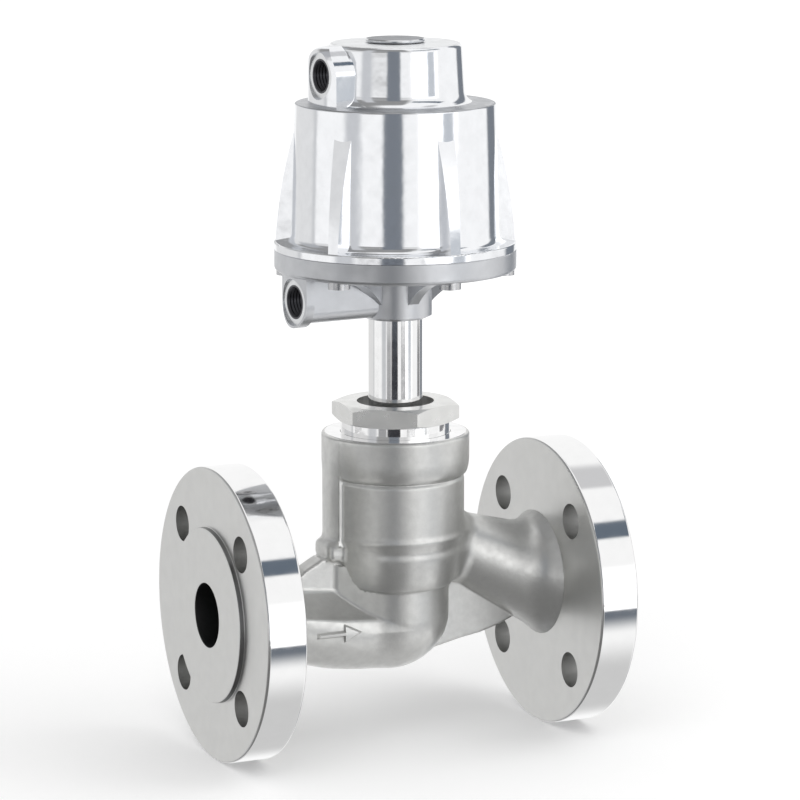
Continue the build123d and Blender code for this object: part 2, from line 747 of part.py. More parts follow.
def housing_rib():
    """Outer rib of the housing, narrower at its tip and curved in towards the top, towards +X."""
    root = HOUSING_TOP_DIA / 2 - RIB_SUNK
    tip = BASE_DIA / 2 - HOUSING_EDGE_ROUND
    low = SPLIT + HOUSING_FLANGE - OVERLAP
    high = SPLIT + RIB_HEIGHT
    bulge = (tip - RIB_CURVE_IN, 0, (low + high) / 2)
    top = (HOUSING_TOP_DIA / 2 - RIB_TOP_STEP, 0, high)
    edge = ThreePointArc((tip, 0, low + OVERLAP), bulge, top)
    side = Polyline(top, (root, 0, high), (root, 0, low), (tip, 0, low), edge @ 0)
    blade = extrude(make_face(edge + side), RIB_ROOT, both=True)
    across = Polyline(
        (root, -RIB_ROOT / 2, low),
        (tip, -RIB_TIP / 2, low),
        (tip, RIB_TIP / 2, low),
        (root, RIB_ROOT / 2, low),
        close=True,
    )
    return blade & extrude(make_face(across), high - low)


def upper_port_lug():
    """Lug of the upper port beside the drum, drawn towards +X, arched and rounded on top."""
    reach = UPPER_PORT_REACH
    half = UPPER_PORT_WIDTH / 2
    arch = Pos(0, 0, UPPER_PORT) * Rot(0, 90, 0) * Cylinder(half, 2 * reach)
    leg_height = UPPER_PORT_RISE + OVERLAP
    leg = Pos(0, 0, UPPER_PORT - leg_height / 2) * Box(2 * reach, 2 * half, leg_height)
    outward = Pos(reach, 0, UPPER_PORT) * Box(2 * reach, 4 * half, 4 * half)
    low = HOUSING_TOP - OVERLAP
    top = UPPER_PORT + half
    nose = turned((0, low), (reach, low), (reach, top), (0, top), rounds={2: UPPER_PORT_ROUND})
    return (arch + leg) & outward & nose


def actuator_housing():
    """Cylinder of the actuator in one piece: flange, bell, ribs, drum and upper port."""
    ledge = (BASE_DIA - HOUSING_FOOT_DIA) / 2
    outside = turned(
        (0, SPLIT),
        (BASE_DIA / 2, SPLIT),
        (BASE_DIA / 2, SPLIT + HOUSING_FLANGE),
        (HOUSING_FOOT_DIA / 2, SPLIT + HOUSING_FLANGE),
        (HOUSING_TOP_DIA / 2, HOUSING_TOP),
        (DRUM_FOOT_DIA / 2, HOUSING_TOP),
        (DRUM_TOP_DIA / 2, DRUM_TOP),
        (0, DRUM_TOP),
        rounds={
            2: HOUSING_EDGE_ROUND,
            3: min(FOOT_ROUND, ledge / 2),
            4: HOUSING_ROUND,
            5: DRUM_FOOT_ROUND,
            6: DRUM_ROUND,
        },
    )
    outside = outside + ring_of(RIB_COUNT, housing_rib()) + at_port(upper_port_lug())
    cylinder = rod(CYLINDER_DIA, SPLIT - OVERLAP, CYLINDER_TOP - SPLIT + OVERLAP)
    drum = rod(DRUM_BORE_DIA, SPLIT, DRUM_CEILING - SPLIT)
    rod_hole = rod(INDICATOR_DIA + 4 * RUN_GAP, DRUM_CEILING - OVERLAP, DRUM_ROOF + 2 * OVERLAP)
    groove_dia = INDICATOR_DIA + 2 * O_RING_WIRE
    groove = ring(groove_dia, INDICATOR_DIA, INDICATOR_RING_BASE, O_RING_WIRE)
    port_depth = UPPER_PORT_SPOT - DRUM_BORE_DIA / 2 + UPPER_PORT_BREAK
    hole, face = port_drill(UPPER_PORT_SPOT, port_depth, UPPER_PORT)
    thread = rod(SCREW_DIA + 2 * THREAD_GAP, SPLIT - OVERLAP, SCREW_REACH + SCREW_END_GAP + OVERLAP)
    tapped = Pos(SCREW_CIRCLE_DIA / 2, 0, 0) * thread
    cuts = [cylinder, drum, rod_hole, groove, at_port(hole), at_port(face)]
    return outside - cuts - ring_of(RIB_COUNT, tapped)


def indicator_o_ring():
    """O-ring round the indicator rod in the drum's roof."""
    outer = INDICATOR_DIA + 2 * O_RING_WIRE
    return ring(outer, INDICATOR_DIA + 2 * RUN_GAP, INDICATOR_RING_BASE, O_RING_WIRE)


def outer_spring():
    """Outer closing spring between piston and roof."""
    length = CYLINDER_TOP - SPRING_BASE
    return spring(OUTER_SPRING_DIA, OUTER_SPRING_WIRE, SPRING_BASE, length, OUTER_SPRING_TURNS)


def inner_spring():
    """Inner closing spring between piston and the drum's ceiling."""
    length = DRUM_CEILING - SPRING_BASE
    return spring(INNER_SPRING_DIA, INNER_SPRING_WIRE, SPRING_BASE, length, INNER_SPRING_TURNS)


def stem():
    """Stem from the plug to the piston, with a threaded end at each."""
    thread = STEM_THREAD_DIA / 2
    shaft = STEM_DIA / 2
    low = RETAINER_BASE - PLUG_NUT_HEIGHT
    solid = turned(
        (0, low),
        (thread, low),
        (thread, PLUG_BASE),
        (shaft, PLUG_BASE),
        (shaft, PISTON_BASE),
        (thread, PISTON_BASE),
        (thread, STEM_TOP),
        (0, STEM_TOP),
    )
    return solid - cross_pin(STEM_DIA + OVERLAP)


def cross_pin(length):
    """Round pin across plug and stem."""
    return Pos(0, 0, PLUG_BASE + PLUG_HEIGHT / 2) * Rot(90, 0, 0) * Cylinder(PIN_DIA / 2, length)


def plug():
    """Closing disc on the stem, with a recess for its seal."""
    outer = PLUG_DIA / 2
    seal = PLUG_SEAL_DIA / 2
    top = PLUG_BASE + PLUG_HEIGHT
    solid = turned(
        (STEM_DIA / 2, PLUG_BASE),
        (seal, PLUG_BASE),
        (seal, SEAT_HEIGHT + LOOSE_GAP),
        (outer, SEAT_HEIGHT + LOOSE_GAP),
        (outer, top - 2 * CAST_ROUND),
        (STEM_DIA, top),
        (STEM_DIA / 2, top),
    )
    return solid - cross_pin(PLUG_DIA + OVERLAP)


def plug_seal():
    """Flat seal ring that closes on the seat's lip."""
    return ring(PLUG_SEAL_DIA, STEM_THREAD_DIA, SEAT_HEIGHT, PLUG_SEAL_THICK)


def plug_retainer():
    """Disc that holds the seal in the plug."""
    return ring(RETAINER_DIA, STEM_THREAD_DIA, RETAINER_BASE, RETAINER_THICK, EDGE_CHAMFER)


def plug_nut():
    """Nut under the retainer."""
    base = RETAINER_BASE - PLUG_NUT_HEIGHT
    solid = hexagon(PLUG_NUT_WIDTH, base, PLUG_NUT_HEIGHT, SMALL_NUT_CHAMFER)
    return solid - rod(STEM_THREAD_DIA, base, PLUG_NUT_HEIGHT)


def plug_pin():
    """Cross pin through plug and stem."""
    return cross_pin(PLUG_DIA - PIN_SHORT)


def piston():
    """Piston with two grooves in its rim and a cup for the springs."""
    outer = CYLINDER_DIA / 2 - LOOSE_GAP
    wall = SPIGOT_WALL
    boss = PISTON_BOSS_DIA / 2
    solid = turned(
        (STEM_THREAD_DIA / 2, PISTON_BASE),
        (outer, PISTON_BASE),
        (outer, PISTON_TOP),
        (outer - wall, PISTON_TOP),
        (outer - wall, SPRING_BASE),
        (boss, SPRING_BASE),
        (boss, PISTON_TOP),
        (STEM_THREAD_DIA / 2, PISTON_TOP),
    )
    groove_foot = CYLINDER_DIA - 2 * SEAL_GROOVE
    seal_groove = ring(CYLINDER_DIA, groove_foot, SEAL_BASE, SEAL_THICK)
    guide_groove = ring(CYLINDER_DIA, groove_foot, GUIDE_BASE, GUIDE_THICK)
    face_groove = ring(STEM_DIA + 2 * O_RING_WIRE, STEM_DIA, PISTON_BASE, O_RING_WIRE)
    return solid - seal_groove - guide_groove - face_groove


def piston_seal():
    """Lip seal in the lower groove of the piston."""
    outer = CYLINDER_DIA - 2 * RUN_GAP
    return ring(outer, CYLINDER_DIA - 2 * SEAL_GROOVE, SEAL_BASE, SEAL_THICK)


def piston_guide_ring():
    """Slide ring in the upper groove of the piston."""
    outer = CYLINDER_DIA - 2 * RUN_GAP
    return ring(outer, CYLINDER_DIA - 2 * SEAL_GROOVE, GUIDE_BASE, GUIDE_THICK)


def piston_o_ring():
    """O-ring between stem and piston."""
    return ring(STEM_DIA + 2 * O_RING_WIRE, STEM_DIA, PISTON_BASE, O_RING_WIRE)


def piston_nut():
    """Long nut that clamps the piston and carries the indicator rod."""
    height = NUT_TOP - PISTON_TOP
    solid = hexagon(PISTON_NUT_WIDTH, PISTON_TOP, height, SMALL_NUT_CHAMFER)
    return solid - rod(STEM_THREAD_DIA, PISTON_TOP, height)


def indicator_rod():
    """Rod from the piston nut up through the drum's roof, with a shoulder that ends the travel."""
    thin = INDICATOR_DIA / 2
    shoulder = STOP_DIA / 2
    stop = DRUM_CEILING - TRAVEL
    return turned(
        (0, STEM_TOP),
        (thin, STEM_TOP),
        (thin, NUT_TOP),
        (shoulder, NUT_TOP),
        (shoulder, stop),
        (thin, stop),
        (thin, DRUM_TOP + INDICATOR_GAP),
        (0, DRUM_TOP + INDICATOR_GAP),
    )


def indicator_cap():
    """Round cap on the indicator rod, just clear of the drum when the valve is closed."""
    base = DRUM_TOP + INDICATOR_GAP
    return ring(INDICATOR_CAP_DIA, 0, base, INDICATOR_CAP, INDICATOR_EDGE)


PIECES = [
    valve_body,
    seat_ring,
    body_gasket,
    bonnet_nut,
    bonnet_tube,
    wiper_ring,
    guide_bush,
    packing_base_ring,
    packing_v_rings,
    packing_washer,
    packing_spring,
    gland_bush,
    actuator_base,
    rod_seal,
    stem_bush,
    base_o_ring,
    actuator_housing,
    indicator_o_ring,
    outer_spring,
    inner_spring,
    base_screws,
    stem,
    plug,
    plug_seal,
    plug_retainer,
    plug_nut,
    plug_pin,
    piston,
    piston_seal,
    piston_guide_ring,
    piston_o_ring,
    piston_nut,
    indicator_rod,
    indicator_cap,
]

os.makedirs("parts", exist_ok=True)
for piece in PIECES:
    shape = piece()
    if isinstance(shape, list):
        shape = Compound([item.solid() for item in shape])
    export_step(Pos(END, 0, 0) * shape, "parts/" + piece.__name__ + ".step")
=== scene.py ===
import math

import bpy
import numpy as np
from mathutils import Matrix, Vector


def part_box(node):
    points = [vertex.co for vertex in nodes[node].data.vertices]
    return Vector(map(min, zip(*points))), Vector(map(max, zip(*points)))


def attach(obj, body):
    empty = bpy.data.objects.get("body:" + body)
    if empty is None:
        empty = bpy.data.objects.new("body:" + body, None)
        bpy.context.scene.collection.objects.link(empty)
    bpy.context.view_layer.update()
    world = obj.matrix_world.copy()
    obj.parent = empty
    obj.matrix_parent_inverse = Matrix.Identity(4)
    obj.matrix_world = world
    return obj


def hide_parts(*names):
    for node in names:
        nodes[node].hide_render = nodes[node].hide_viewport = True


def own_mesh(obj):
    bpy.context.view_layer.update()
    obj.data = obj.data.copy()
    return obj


# Pneumatic globe valve in its studio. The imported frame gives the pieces' sizes and places. Points
# of the casting and of turned pieces are in millimetres from the crossing of the stem's axis and
# the pipe's axis, and everything in the scene is in metres.

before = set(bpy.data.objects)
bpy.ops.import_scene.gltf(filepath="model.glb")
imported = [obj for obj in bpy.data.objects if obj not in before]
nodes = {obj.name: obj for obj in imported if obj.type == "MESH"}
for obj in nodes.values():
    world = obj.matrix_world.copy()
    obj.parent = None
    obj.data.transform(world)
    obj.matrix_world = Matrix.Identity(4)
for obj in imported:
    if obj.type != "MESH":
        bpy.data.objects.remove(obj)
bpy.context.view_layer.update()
MM = 0.001

# Places read from the frame
stem_low, stem_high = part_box("stem")
body_low, body_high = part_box("valve_body")
STEM_X = (stem_low.x + stem_high.x) / 2
END = (body_high.x - body_low.x) / 2 / MM
FLANGE_RADIUS = (body_high.y - body_low.y) / 2 / MM
COLLAR_TOP = body_high.z / MM
NUT_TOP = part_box("bonnet_nut")[1].z / MM
DRUM_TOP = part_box("actuator_housing")[1].z / MM
CAP_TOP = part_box("indicator_cap")[1].z / MM

# How finely round shapes are cut, and how sharp an edge has to be to stay an edge, in degrees
RING_STEPS = 192
ARC_STEPS = 5
DRILL_STEPS = 64
WIRE_STEPS = 16
COIL_STEPS = 48
THREAD_STEPS = 48
SHARP_ANGLE = 30.0
FLANGE_SHARP_ANGLE = 28.0
SPRING_SHARP_ANGLE = 40.0
# Width of the strips beside a rounded edge that keep the flat faces' reflections straight
EDGE_STRIP = 0.05

# Sizes of the flanges
RIM = 16.0
RAISED_RADIUS = 34.0
RAISED_HEIGHT = 2.0
RIM_EDGE = 1.0
SMALL_EDGE = 0.35
BORE_RADIUS = 12.5
BOLT_CIRCLE = 42.5
BOLT_RADIUS = 7.0
BOLT_COUNT = 4
DRILL_CORE = 0.01
NECK_END = END - RIM - RAISED_HEIGHT

# Sizes of the ports (distance from the stem's axis, height), the nut, the housing's ledge and the
# springs (name, wire, turns)
PORT_TURN = 185.0
LOWER_PORT = (44.2, 120.5)
UPPER_PORT = (32.5, 206.5)
PORT_RADIUS = 5.9
PORT_MOUTH = 6.6
PORT_SPOT = 9.05
PORT_PITCH = 1.337
PORT_CREST = 5.35
PORT_THREAD = 9.0
PORT_PROUD = 0.05
RECESS_RADIUS = 15.3
LEDGE_HEIGHT = 195.0
SHANK_RADIUS = 21.6
HEX_HEIGHT = 7.4
SPRINGS = (("outer_spring", 4.5, 4), ("inner_spring", 4.0, 6))

# Sizes of the casting. Beads and grooves are (height, width, rise), the other pairs are (x, z)
# points or a value at each end.
WALL = 5.0
INLET_RADIUS = BORE_RADIUS + WALL
DIP = 10.5
LEVEL_END = -60.0
DIP_START = -22.0
LEVEL_EASING = 24.0
DIP_EASING = 24.0
ELBOW_X = -5.0
ELBOW_BLEND = 5.0
THROAT_RADIUS = 21.0
DOME = -6.2
CHAMBER_FLOOR = 6.0
CHAMBER_RADIUS = 18.5
SEAT_RADIUS = 15.6
BOWL_FOOT_RADIUS = 22.3
BOWL_SHAPE = 1.5
BOWL_BEAD = (26.2, 1.3, 0.4)
BOWL_GROOVE = (22.0, 2.0, -0.5)
COLLAR_GROOVE = (49.5, 0.9, -0.7)
NECK_RADIUS = 27.0
NECK_FOOT = 27.0
COLLAR_BASE = 50.1
COLLAR_CREASE = 27.3
COLLAR_RADIUS = 29.0
COLLAR_ROUND = 7.0
COLLAR_BLEND = 1.2
TOP_RECESS = 0.2
NUT_BORE = 23.0
NUT_SEAT = 46.0
NUT_THREAD = 21.65
COLLAR_THREAD_DEPTH = 0.8
COLLAR_THREAD_PITCH = 1.5
COLLAR_THREAD_TURNS = 3
OUTLET_FROM = (14.0, 23.8)
OUTLET_TO = (68.0, 0.0)
OUTLET_RADII = (11.0, 20.8)
OUTLET_BORE = (9.0, 12.3)
OUTLET_BLEND = 6.0
FLARE_Z = (11.0, 3.7)
FLARE_RADII = (12.3, 24.8)
FLARE_LENGTH = 20.0
FLARE_SHAPE = 1.7
FLARE_BLEND = 3.6
INLET_HUB_RADIUS = 18.6
INLET_HUB_LENGTH = 1.0
INLET_HUB_BLEND = 3.0
FLANGE_SINK = 0.4
RIB_HALF = 8.0
RIB_FOOT = 24.0
RIB_TOP = 65.5
RIB_BLEND = 1.0
PAD_HALF = 7.8
PAD_REACH = 31.8
PAD_LOW = 17.2
PAD_HIGH = 25.2
PAD_BLEND = 3.0
PAD_FILLET = 2.2
INLET_WEB_HALF = 4.75
INLET_WEB_TOP = ((-62.0, 4.0), (-45.0, 11.0), (-40.4, 14.6), (-33.3, 18.5), (-21.0, 19.0))
INLET_WEB_BLEND = 1.2
FLANK_EDGE = ((-62.0, 0.5), (-44.0, -1.3), (-29.0, -3.6), (-15.0, -4.8))
FLANK_TOP = ((-62.0, 9.0), (-41.0, 6.8), (-28.0, 5.4), (-15.0, 4.0))
FLANK_HALF = 17.0
FLANK_SHAPE = 1.4
FLANK_WALL = 2.0
GUSSET_TURN = 51.9
GUSSET_LOW = -5.5
GUSSET_TOP = 15.5
OUTLET_WEB_HALF = 3.0
OUTLET_WEB_FOOT = ((5.0, -23.0), (14.0, -22.8), (27.0, -19.9), (36.0, -18.4), (45.0, -15.8),
                   (52.7, -12.3), (62.0, -6.0))
OUTLET_WEB_BLEND = 0.8
CREASE = 1.2
OVERLAP = 1.0
ARROW_X = -41.0
ARROW_Z = -8.6
ARROW_SHAFT = 11.5
ARROW_HEAD = 7.5
ARROW_HALF = 3.8
ARROW_LINE = 1.3
ARROW_RAISE = 1.2
ARROW_DRAFT = 0.8
ARROW_SINK = 0.8
ARROW_STATIONS = 12
ARROW_ROWS = 17
ARROW_TIP = 0.97
SEARCH_STEPS = 30
CELL = 0.65
SLOPE_STEP = 0.02
SETTLE_STEPS = 3
LEAST_SLOPE = 0.2


def to_frame(points):
    """Millimetres about the stem and pipe axes to metres in the frame."""
    placed = np.asarray(points, float) * MM
    placed[:, 0] += STEM_X
    return placed


def new_object(name, data):
    """New object in the scene."""
    made = bpy.data.objects.new(name, data)
    bpy.context.scene.collection.objects.link(made)
    return made


def mesh_piece(name, points, faces, body, material, angle=SHARP_ANGLE):
    """New mesh from points in millimetres, smooth but for edges sharper than an angle."""
    mesh = bpy.data.meshes.new(name)
    faces = faces if isinstance(faces, list) else faces.tolist()
    mesh.from_pydata(to_frame(points).tolist(), [], faces)
    mesh.update()
    mesh.shade_smooth()
    if angle:
        mesh.set_sharp_from_angle(angle=math.radians(angle))
    piece = new_object(name, mesh)
    piece.data.materials.append(material)
    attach(piece, body)
    return piece


def rounded(corners, radii):
    """Corner points of a closed outline with an arc of its own radius at each corner."""
    outline = []
    count = len(corners)
    for index, (corner, radius) in enumerate(zip(corners, radii)):
        corner = np.array(corner, float)
        if not radius:
            outline.append(corner)
            continue
        before = np.array(corners[index - 1], float) - corner
        after = np.array(corners[(index + 1) % count], float) - corner
        before /= np.linalg.norm(before)
        after /= np.linalg.norm(after)
        half = math.acos(np.clip(before @ after, -1, 1)) / 2
        middle = (before + after) / np.linalg.norm(before + after)
        centre = corner + middle * radius / math.sin(half)
        start = corner + before * radius / math.tan(half) - centre
        end = corner + after * radius / math.tan(half) - centre
        turn = math.pi - 2 * half
        outline.append(centre + start + before * EDGE_STRIP)
        for step in range(ARC_STEPS + 1):
            share = step / ARC_STEPS
            mixed = start * math.sin((1 - share) * turn) + end * math.sin(share * turn)
            outline.append(centre + mixed / math.sin(turn))
        outline.append(centre + end + after * EDGE_STRIP)
    return outline


def ring_faces(first, second, count):
    """Faces between pairs of rings, each ring given by the number of its first point."""
    first = np.asarray(first)[:, None]
    second = np.asarray(second)[:, None]
    here = np.arange(count)
    ahead = (here + 1) % count
    faces = np.stack([first + here, first + ahead, second + ahead, second + here], 2)
    return faces.reshape(-1, 4)


def turned(outline, axis, steps=RING_STEPS):
    """Points and faces of a closed outline of (along, radius) turned about the pipe or the stem."""
    outline = np.array(outline)
    turn = np.linspace(0, 2 * math.pi, steps, endpoint=False)
    along = np.repeat(outline[:, 0], steps)
    across = np.outer(outline[:, 1], np.cos(turn)).ravel()
    beside = np.outer(outline[:, 1], np.sin(turn)).ravel()
    order = (along, across, beside) if axis == "pipe" else (across, beside, along)
    first = np.arange(len(outline)) * steps
    return np.stack(order, 1), ring_faces(first, np.roll(first, -1), steps)


def outward(points, faces):
    """The same faces, turned over if they enclose a negative volume."""
    a, b, c = (np.asarray(points)[faces[:, index]] for index in (0, 1, 2))
    d = np.asarray(points)[faces[:, 3]]
    volume = (np.cross(b - a, c - a) * a).sum() + (np.cross(c - a, d - a) * a).sum()
    return faces if volume > 0 else faces[:, ::-1]


# Fields: a value for each point, negative inside the metal

def smooth_union(a, b, blend):
    """Both forms, with the valley between them filled over a distance."""
    near = np.maximum(blend - np.abs(a - b), 0) / blend
    return np.minimum(a, b) - near * near * blend / 4


def smooth_common(a, b, blend):
    """What two forms share, with the edge between them rounded over a distance."""
    return -smooth_union(-a, -b, blend)


def ramp(u, easing):
    """0 below zero and u above it, eased over a stretch."""
    curve = (u + easing / 2) ** 2 / (2 * easing)
    return np.where(u < -easing / 2, 0.0, np.where(u > easing / 2, u, curve))


def eased(u, easing):
    """Slope of the ramp."""
    return np.clip(u / easing + 0.5, 0, 1)


def inlet_tube(x, y, z, radius, end):
    """Round tube along the inlet passage, with a round end."""
    fall = DIP / (DIP_START - LEVEL_END)
    along = np.minimum(x, end)
    level = fall * (ramp(along - DIP_START, DIP_EASING) - ramp(along - LEVEL_END, LEVEL_EASING))
    slope = fall * (eased(along - LEVEL_END, LEVEL_EASING) - eased(along - DIP_START, DIP_EASING))
    rise = (z - level) / np.sqrt(1 + slope * slope)
    return np.sqrt((x - along) ** 2 + y * y + rise * rise) - radius


def outlet_cone(x, y, z, radii):
    """Cone from the chamber down to the outlet."""
    start = np.array(OUTLET_FROM)
    line = np.array(OUTLET_TO) - start
    length = np.linalg.norm(line)
    line = line / length
    along = np.clip((x - start[0]) * line[0] + (z - start[1]) * line[1], 0, length)
    ahead = x - start[0] - along * line[0]
    above = z - start[1] - along * line[1]
    across = np.sqrt(ahead ** 2 + y * y + above ** 2)
    return across - radii[0] - (radii[1] - radii[0]) * along / length


def column(y, z, r):
    """Upright form: throat with its dome, bowl, neck and collar."""
    below = np.minimum(z - DOME, 0)
    throat = np.where(z < DOME, np.sqrt(r * r + below * below), r) - THROAT_RADIUS
    throat = np.maximum(throat, z - NECK_FOOT)
    share = np.clip((z - CHAMBER_FLOOR) / (NECK_FOOT - CHAMBER_FLOOR), 0, 1)
    swell = (1 - (1 - share) ** BOWL_SHAPE) ** (1 / BOWL_SHAPE)
    radius = BOWL_FOOT_RADIUS + (NECK_RADIUS - BOWL_FOOT_RADIUS) * swell
    for height, width, rise in (BOWL_BEAD, BOWL_GROOVE, COLLAR_GROOVE):
        radius = radius + rise * np.exp(-(((z - height) / width) ** 2))
    bowl = smooth_common(r - radius, CHAMBER_FLOOR - z, CREASE)
    bowl = np.maximum(bowl, z - COLLAR_BASE - CREASE)
    lift = np.clip((COLLAR_BASE + COLLAR_ROUND - z) / COLLAR_ROUND, 0, 1)
    collar = r - COLLAR_CREASE - (COLLAR_RADIUS - COLLAR_CREASE) * np.sqrt(1 - lift * lift)
    collar = np.maximum(collar, COLLAR_BASE - z)
    collar = smooth_common(collar, z - COLLAR_TOP + TOP_RECESS, COLLAR_BLEND)
    return smooth_union(smooth_union(throat, bowl, CREASE), collar, CREASE)


def flank(x, y, z):
    """Height above the scooped sides of the inlet neck."""
    edge = np.interp(x, *zip(*FLANK_EDGE))
    top = np.interp(x, *zip(*FLANK_TOP))
    share = np.clip((FLANK_HALF - np.abs(y)) / (FLANK_HALF - INLET_WEB_HALF), 0, 1)
    return z - edge - (top - edge) * share ** FLANK_SHAPE


def gusset(x, y, z, r):
    """Straight sides that draw the throat out to a point under the inlet web."""
    turn = math.radians(GUSSET_TURN)
    side = np.abs(y)
    beside = side * math.cos(turn) > -x * math.sin(turn)
    plan = np.where(beside, r, side * math.sin(turn) - x * math.cos(turn)) - THROAT_RADIUS
    return np.maximum(np.maximum(plan, x), np.maximum(GUSSET_LOW - z, z - GUSSET_TOP))


def inlet_neck(x, y, z):
    """Inlet neck: round below, scooped on both sides above, with a web on top."""
    pipe = np.sqrt(y * y + z * z)
    side = np.abs(y)
    tube = inlet_tube(x, y, z, INLET_RADIUS, ELBOW_X)
    tube = smooth_common(tube, flank(x, y, z), CREASE)
    hub = np.maximum(pipe - INLET_HUB_RADIUS, x + NECK_END - INLET_HUB_LENGTH)
    tube = smooth_union(tube, hub, INLET_HUB_BLEND)
    web_top = np.interp(x, *zip(*INLET_WEB_TOP))
    web = smooth_common(side - INLET_WEB_HALF, z - web_top, CREASE)
    web = np.maximum(np.maximum(web, -DIP - z), x + THROAT_RADIUS - WALL)
    return smooth_union(tube, web, INLET_WEB_BLEND)


def outlet_neck(x, y, z):
    """Outlet neck: a cone that flares out at its flange."""
    share = np.clip((x - NECK_END + FLARE_LENGTH) / FLARE_LENGTH, 0, 1)
    radius = FLARE_RADII[0] + (FLARE_RADII[1] - FLARE_RADII[0]) * share ** FLARE_SHAPE
    middle = FLARE_Z[0] + (FLARE_Z[1] - FLARE_Z[0]) * share
    flare = np.sqrt(y * y + (z - middle) ** 2) - radius
    flare = np.maximum(flare, NECK_END - FLARE_LENGTH - x)
    return smooth_union(outlet_cone(x, y, z, OUTLET_RADII), flare, FLARE_BLEND)


def outlet_web(x, y, z):
    """Web in the pipe plane between the elbow and the outlet flange."""
    foot = np.interp(x, *zip(*OUTLET_WEB_FOOT))
    web = smooth_common(np.abs(y) - OUTLET_WEB_HALF, foot - z, CREASE)
    return np.maximum(np.maximum(web, z - CHAMBER_FLOOR), WALL - x)


def cast_outside(x, y, z):
    """Outside of the casting between its flanges."""
    r = np.sqrt(x * x + y * y)
    side = np.abs(y)
    upright = column(y, z, r)
    rib = np.maximum(np.maximum(r - COLLAR_RADIUS, side - RIB_HALF), x + NECK_RADIUS / 2)
    rib = np.maximum(np.maximum(rib, z - RIB_TOP), RIB_FOOT - z)
    upright = smooth_union(upright, rib, RIB_BLEND)
    pad = smooth_common(side - PAD_HALF, -PAD_REACH - x, PAD_BLEND)
    pad = smooth_common(pad, np.maximum(z - PAD_HIGH, PAD_LOW - z), PAD_BLEND)
    upright = smooth_union(upright, np.maximum(pad, x + NECK_RADIUS / 2), PAD_FILLET)
    upright = smooth_union(upright, outlet_neck(x, y, z), OUTLET_BLEND)
    upright = np.minimum(upright, gusset(x, y, z, r))
    low = eased(np.interp(x, *zip(*FLANK_EDGE)) - WALL / 2 - z, WALL)
    whole = smooth_union(upright, inlet_neck(x, y, z), CREASE + (ELBOW_BLEND - CREASE) * low)
    return smooth_union(whole, outlet_web(x, y, z), OUTLET_WEB_BLEND)


def cast_hollow(x, y, z):
    """Everything bored or cored out of the casting."""
    r = np.sqrt(x * x + y * y)
    pipe = np.sqrt(y * y + z * z)
    rise = np.maximum(np.maximum(r - BORE_RADIUS, z - CHAMBER_FLOOR), -DIP - z)
    seat = np.maximum(np.maximum(r - SEAT_RADIUS, -z), z - CHAMBER_FLOOR - OVERLAP)
    chamber = np.maximum(r - CHAMBER_RADIUS, CHAMBER_FLOOR - z)
    chamber = np.maximum(chamber, z - NUT_SEAT - OVERLAP)
    nut = np.maximum(r - NUT_BORE, NUT_SEAT - z)
    level = np.maximum(pipe - BORE_RADIUS, NECK_END - x)
    inlet = np.maximum(inlet_tube(x, y, z, BORE_RADIUS, 0.0), flank(x, y, z) + FLANK_WALL)
    hollow = np.minimum(inlet, outlet_cone(x, y, z, OUTLET_BORE))
    for cut in (rise, seat, chamber, nut, level):
        hollow = np.minimum(hollow, cut)
    return hollow


def casting(x, y, z):
    """The whole casting, cut off just inside the two flanges."""
    solid = np.maximum(cast_outside(x, y, z), np.abs(x) - NECK_END - FLANGE_SINK)
    return np.maximum(solid, -cast_hollow(x, y, z))


def slopes(field, points):
    """Direction in which a field grows at each point."""
    growth = []
    for axis in range(3):
        shift = np.zeros(3)
        shift[axis] = SLOPE_STEP
        growth.append(field(*(points + shift).T) - field(*(points - shift).T))
    return np.stack(growth, 1) / (2 * SLOPE_STEP)


def field_mesh(field, low, high, cell):
    """Points, faces and normals of a field's surface, with one point in each cell it crosses."""
    low = np.array(low, float)
    axes = [np.arange(a, b + cell, cell) for a, b in zip(low, high)]
    grid = field(*np.meshgrid(*axes, indexing="ij"))
    inside = grid < 0
    count = [len(line) - 1 for line in axes]
    corners = [np.array((i, j, k)) for i in (0, 1) for j in (0, 1) for k in (0, 1)]
    total = np.zeros(count, int)
    for corner in corners:
        total += inside[tuple(slice(o, o + n) for o, n in zip(corner, count))]
    crossed = (total > 0) & (total < len(corners))
    cells = np.argwhere(crossed)
    number = np.full(count, -1)
    number[crossed] = np.arange(len(cells))
    reach = np.zeros((len(cells), 3))
    hits = np.zeros(len(cells))
    for corner in corners:
        for axis in np.flatnonzero(corner == 0):
            far = corner.copy()
            far[axis] = 1
            a = grid[tuple((cells + corner).T)]
            b = grid[tuple((cells + far).T)]
            cuts = (a < 0) != (b < 0)
            share = a[cuts] / (a[cuts] - b[cuts])
            reach[cuts] += corner + share[:, None] * (far - corner)
            hits += cuts
    points = low + (cells + reach / hits[:, None]) * cell
    quads = []
    for axis in range(3):
        u, v = (axis + 1) % 3, (axis + 2) % 3
        edges = np.argwhere(np.diff(inside.astype(np.int8), axis=axis) != 0)
        kept = (edges[:, u] > 0) & (edges[:, v] > 0)
        kept &= (edges[:, u] < count[u]) & (edges[:, v] < count[v])
        edges = edges[kept]
        around = []
        for du, dv in ((0, 0), (1, 0), (1, 1), (0, 1)):
            beside = edges.copy()
            beside[:, u] -= du
            beside[:, v] -= dv
            around.append(number[tuple(beside.T)])
        ring = np.stack(around, 1)
        leaving = inside[tuple(edges.T)]
        quads.append(np.where(leaving[:, None], ring, ring[:, ::-1]))
    for _ in range(SETTLE_STEPS):
        slope = slopes(field, points)
        value = field(*points.T) / np.maximum((slope ** 2).sum(1), LEAST_SLOPE)
        points -= np.clip(value[:, None] * slope, -cell / 2, cell / 2)
    normals = slopes(field, points)
    return points, np.concatenate(quads), normals


# Materials

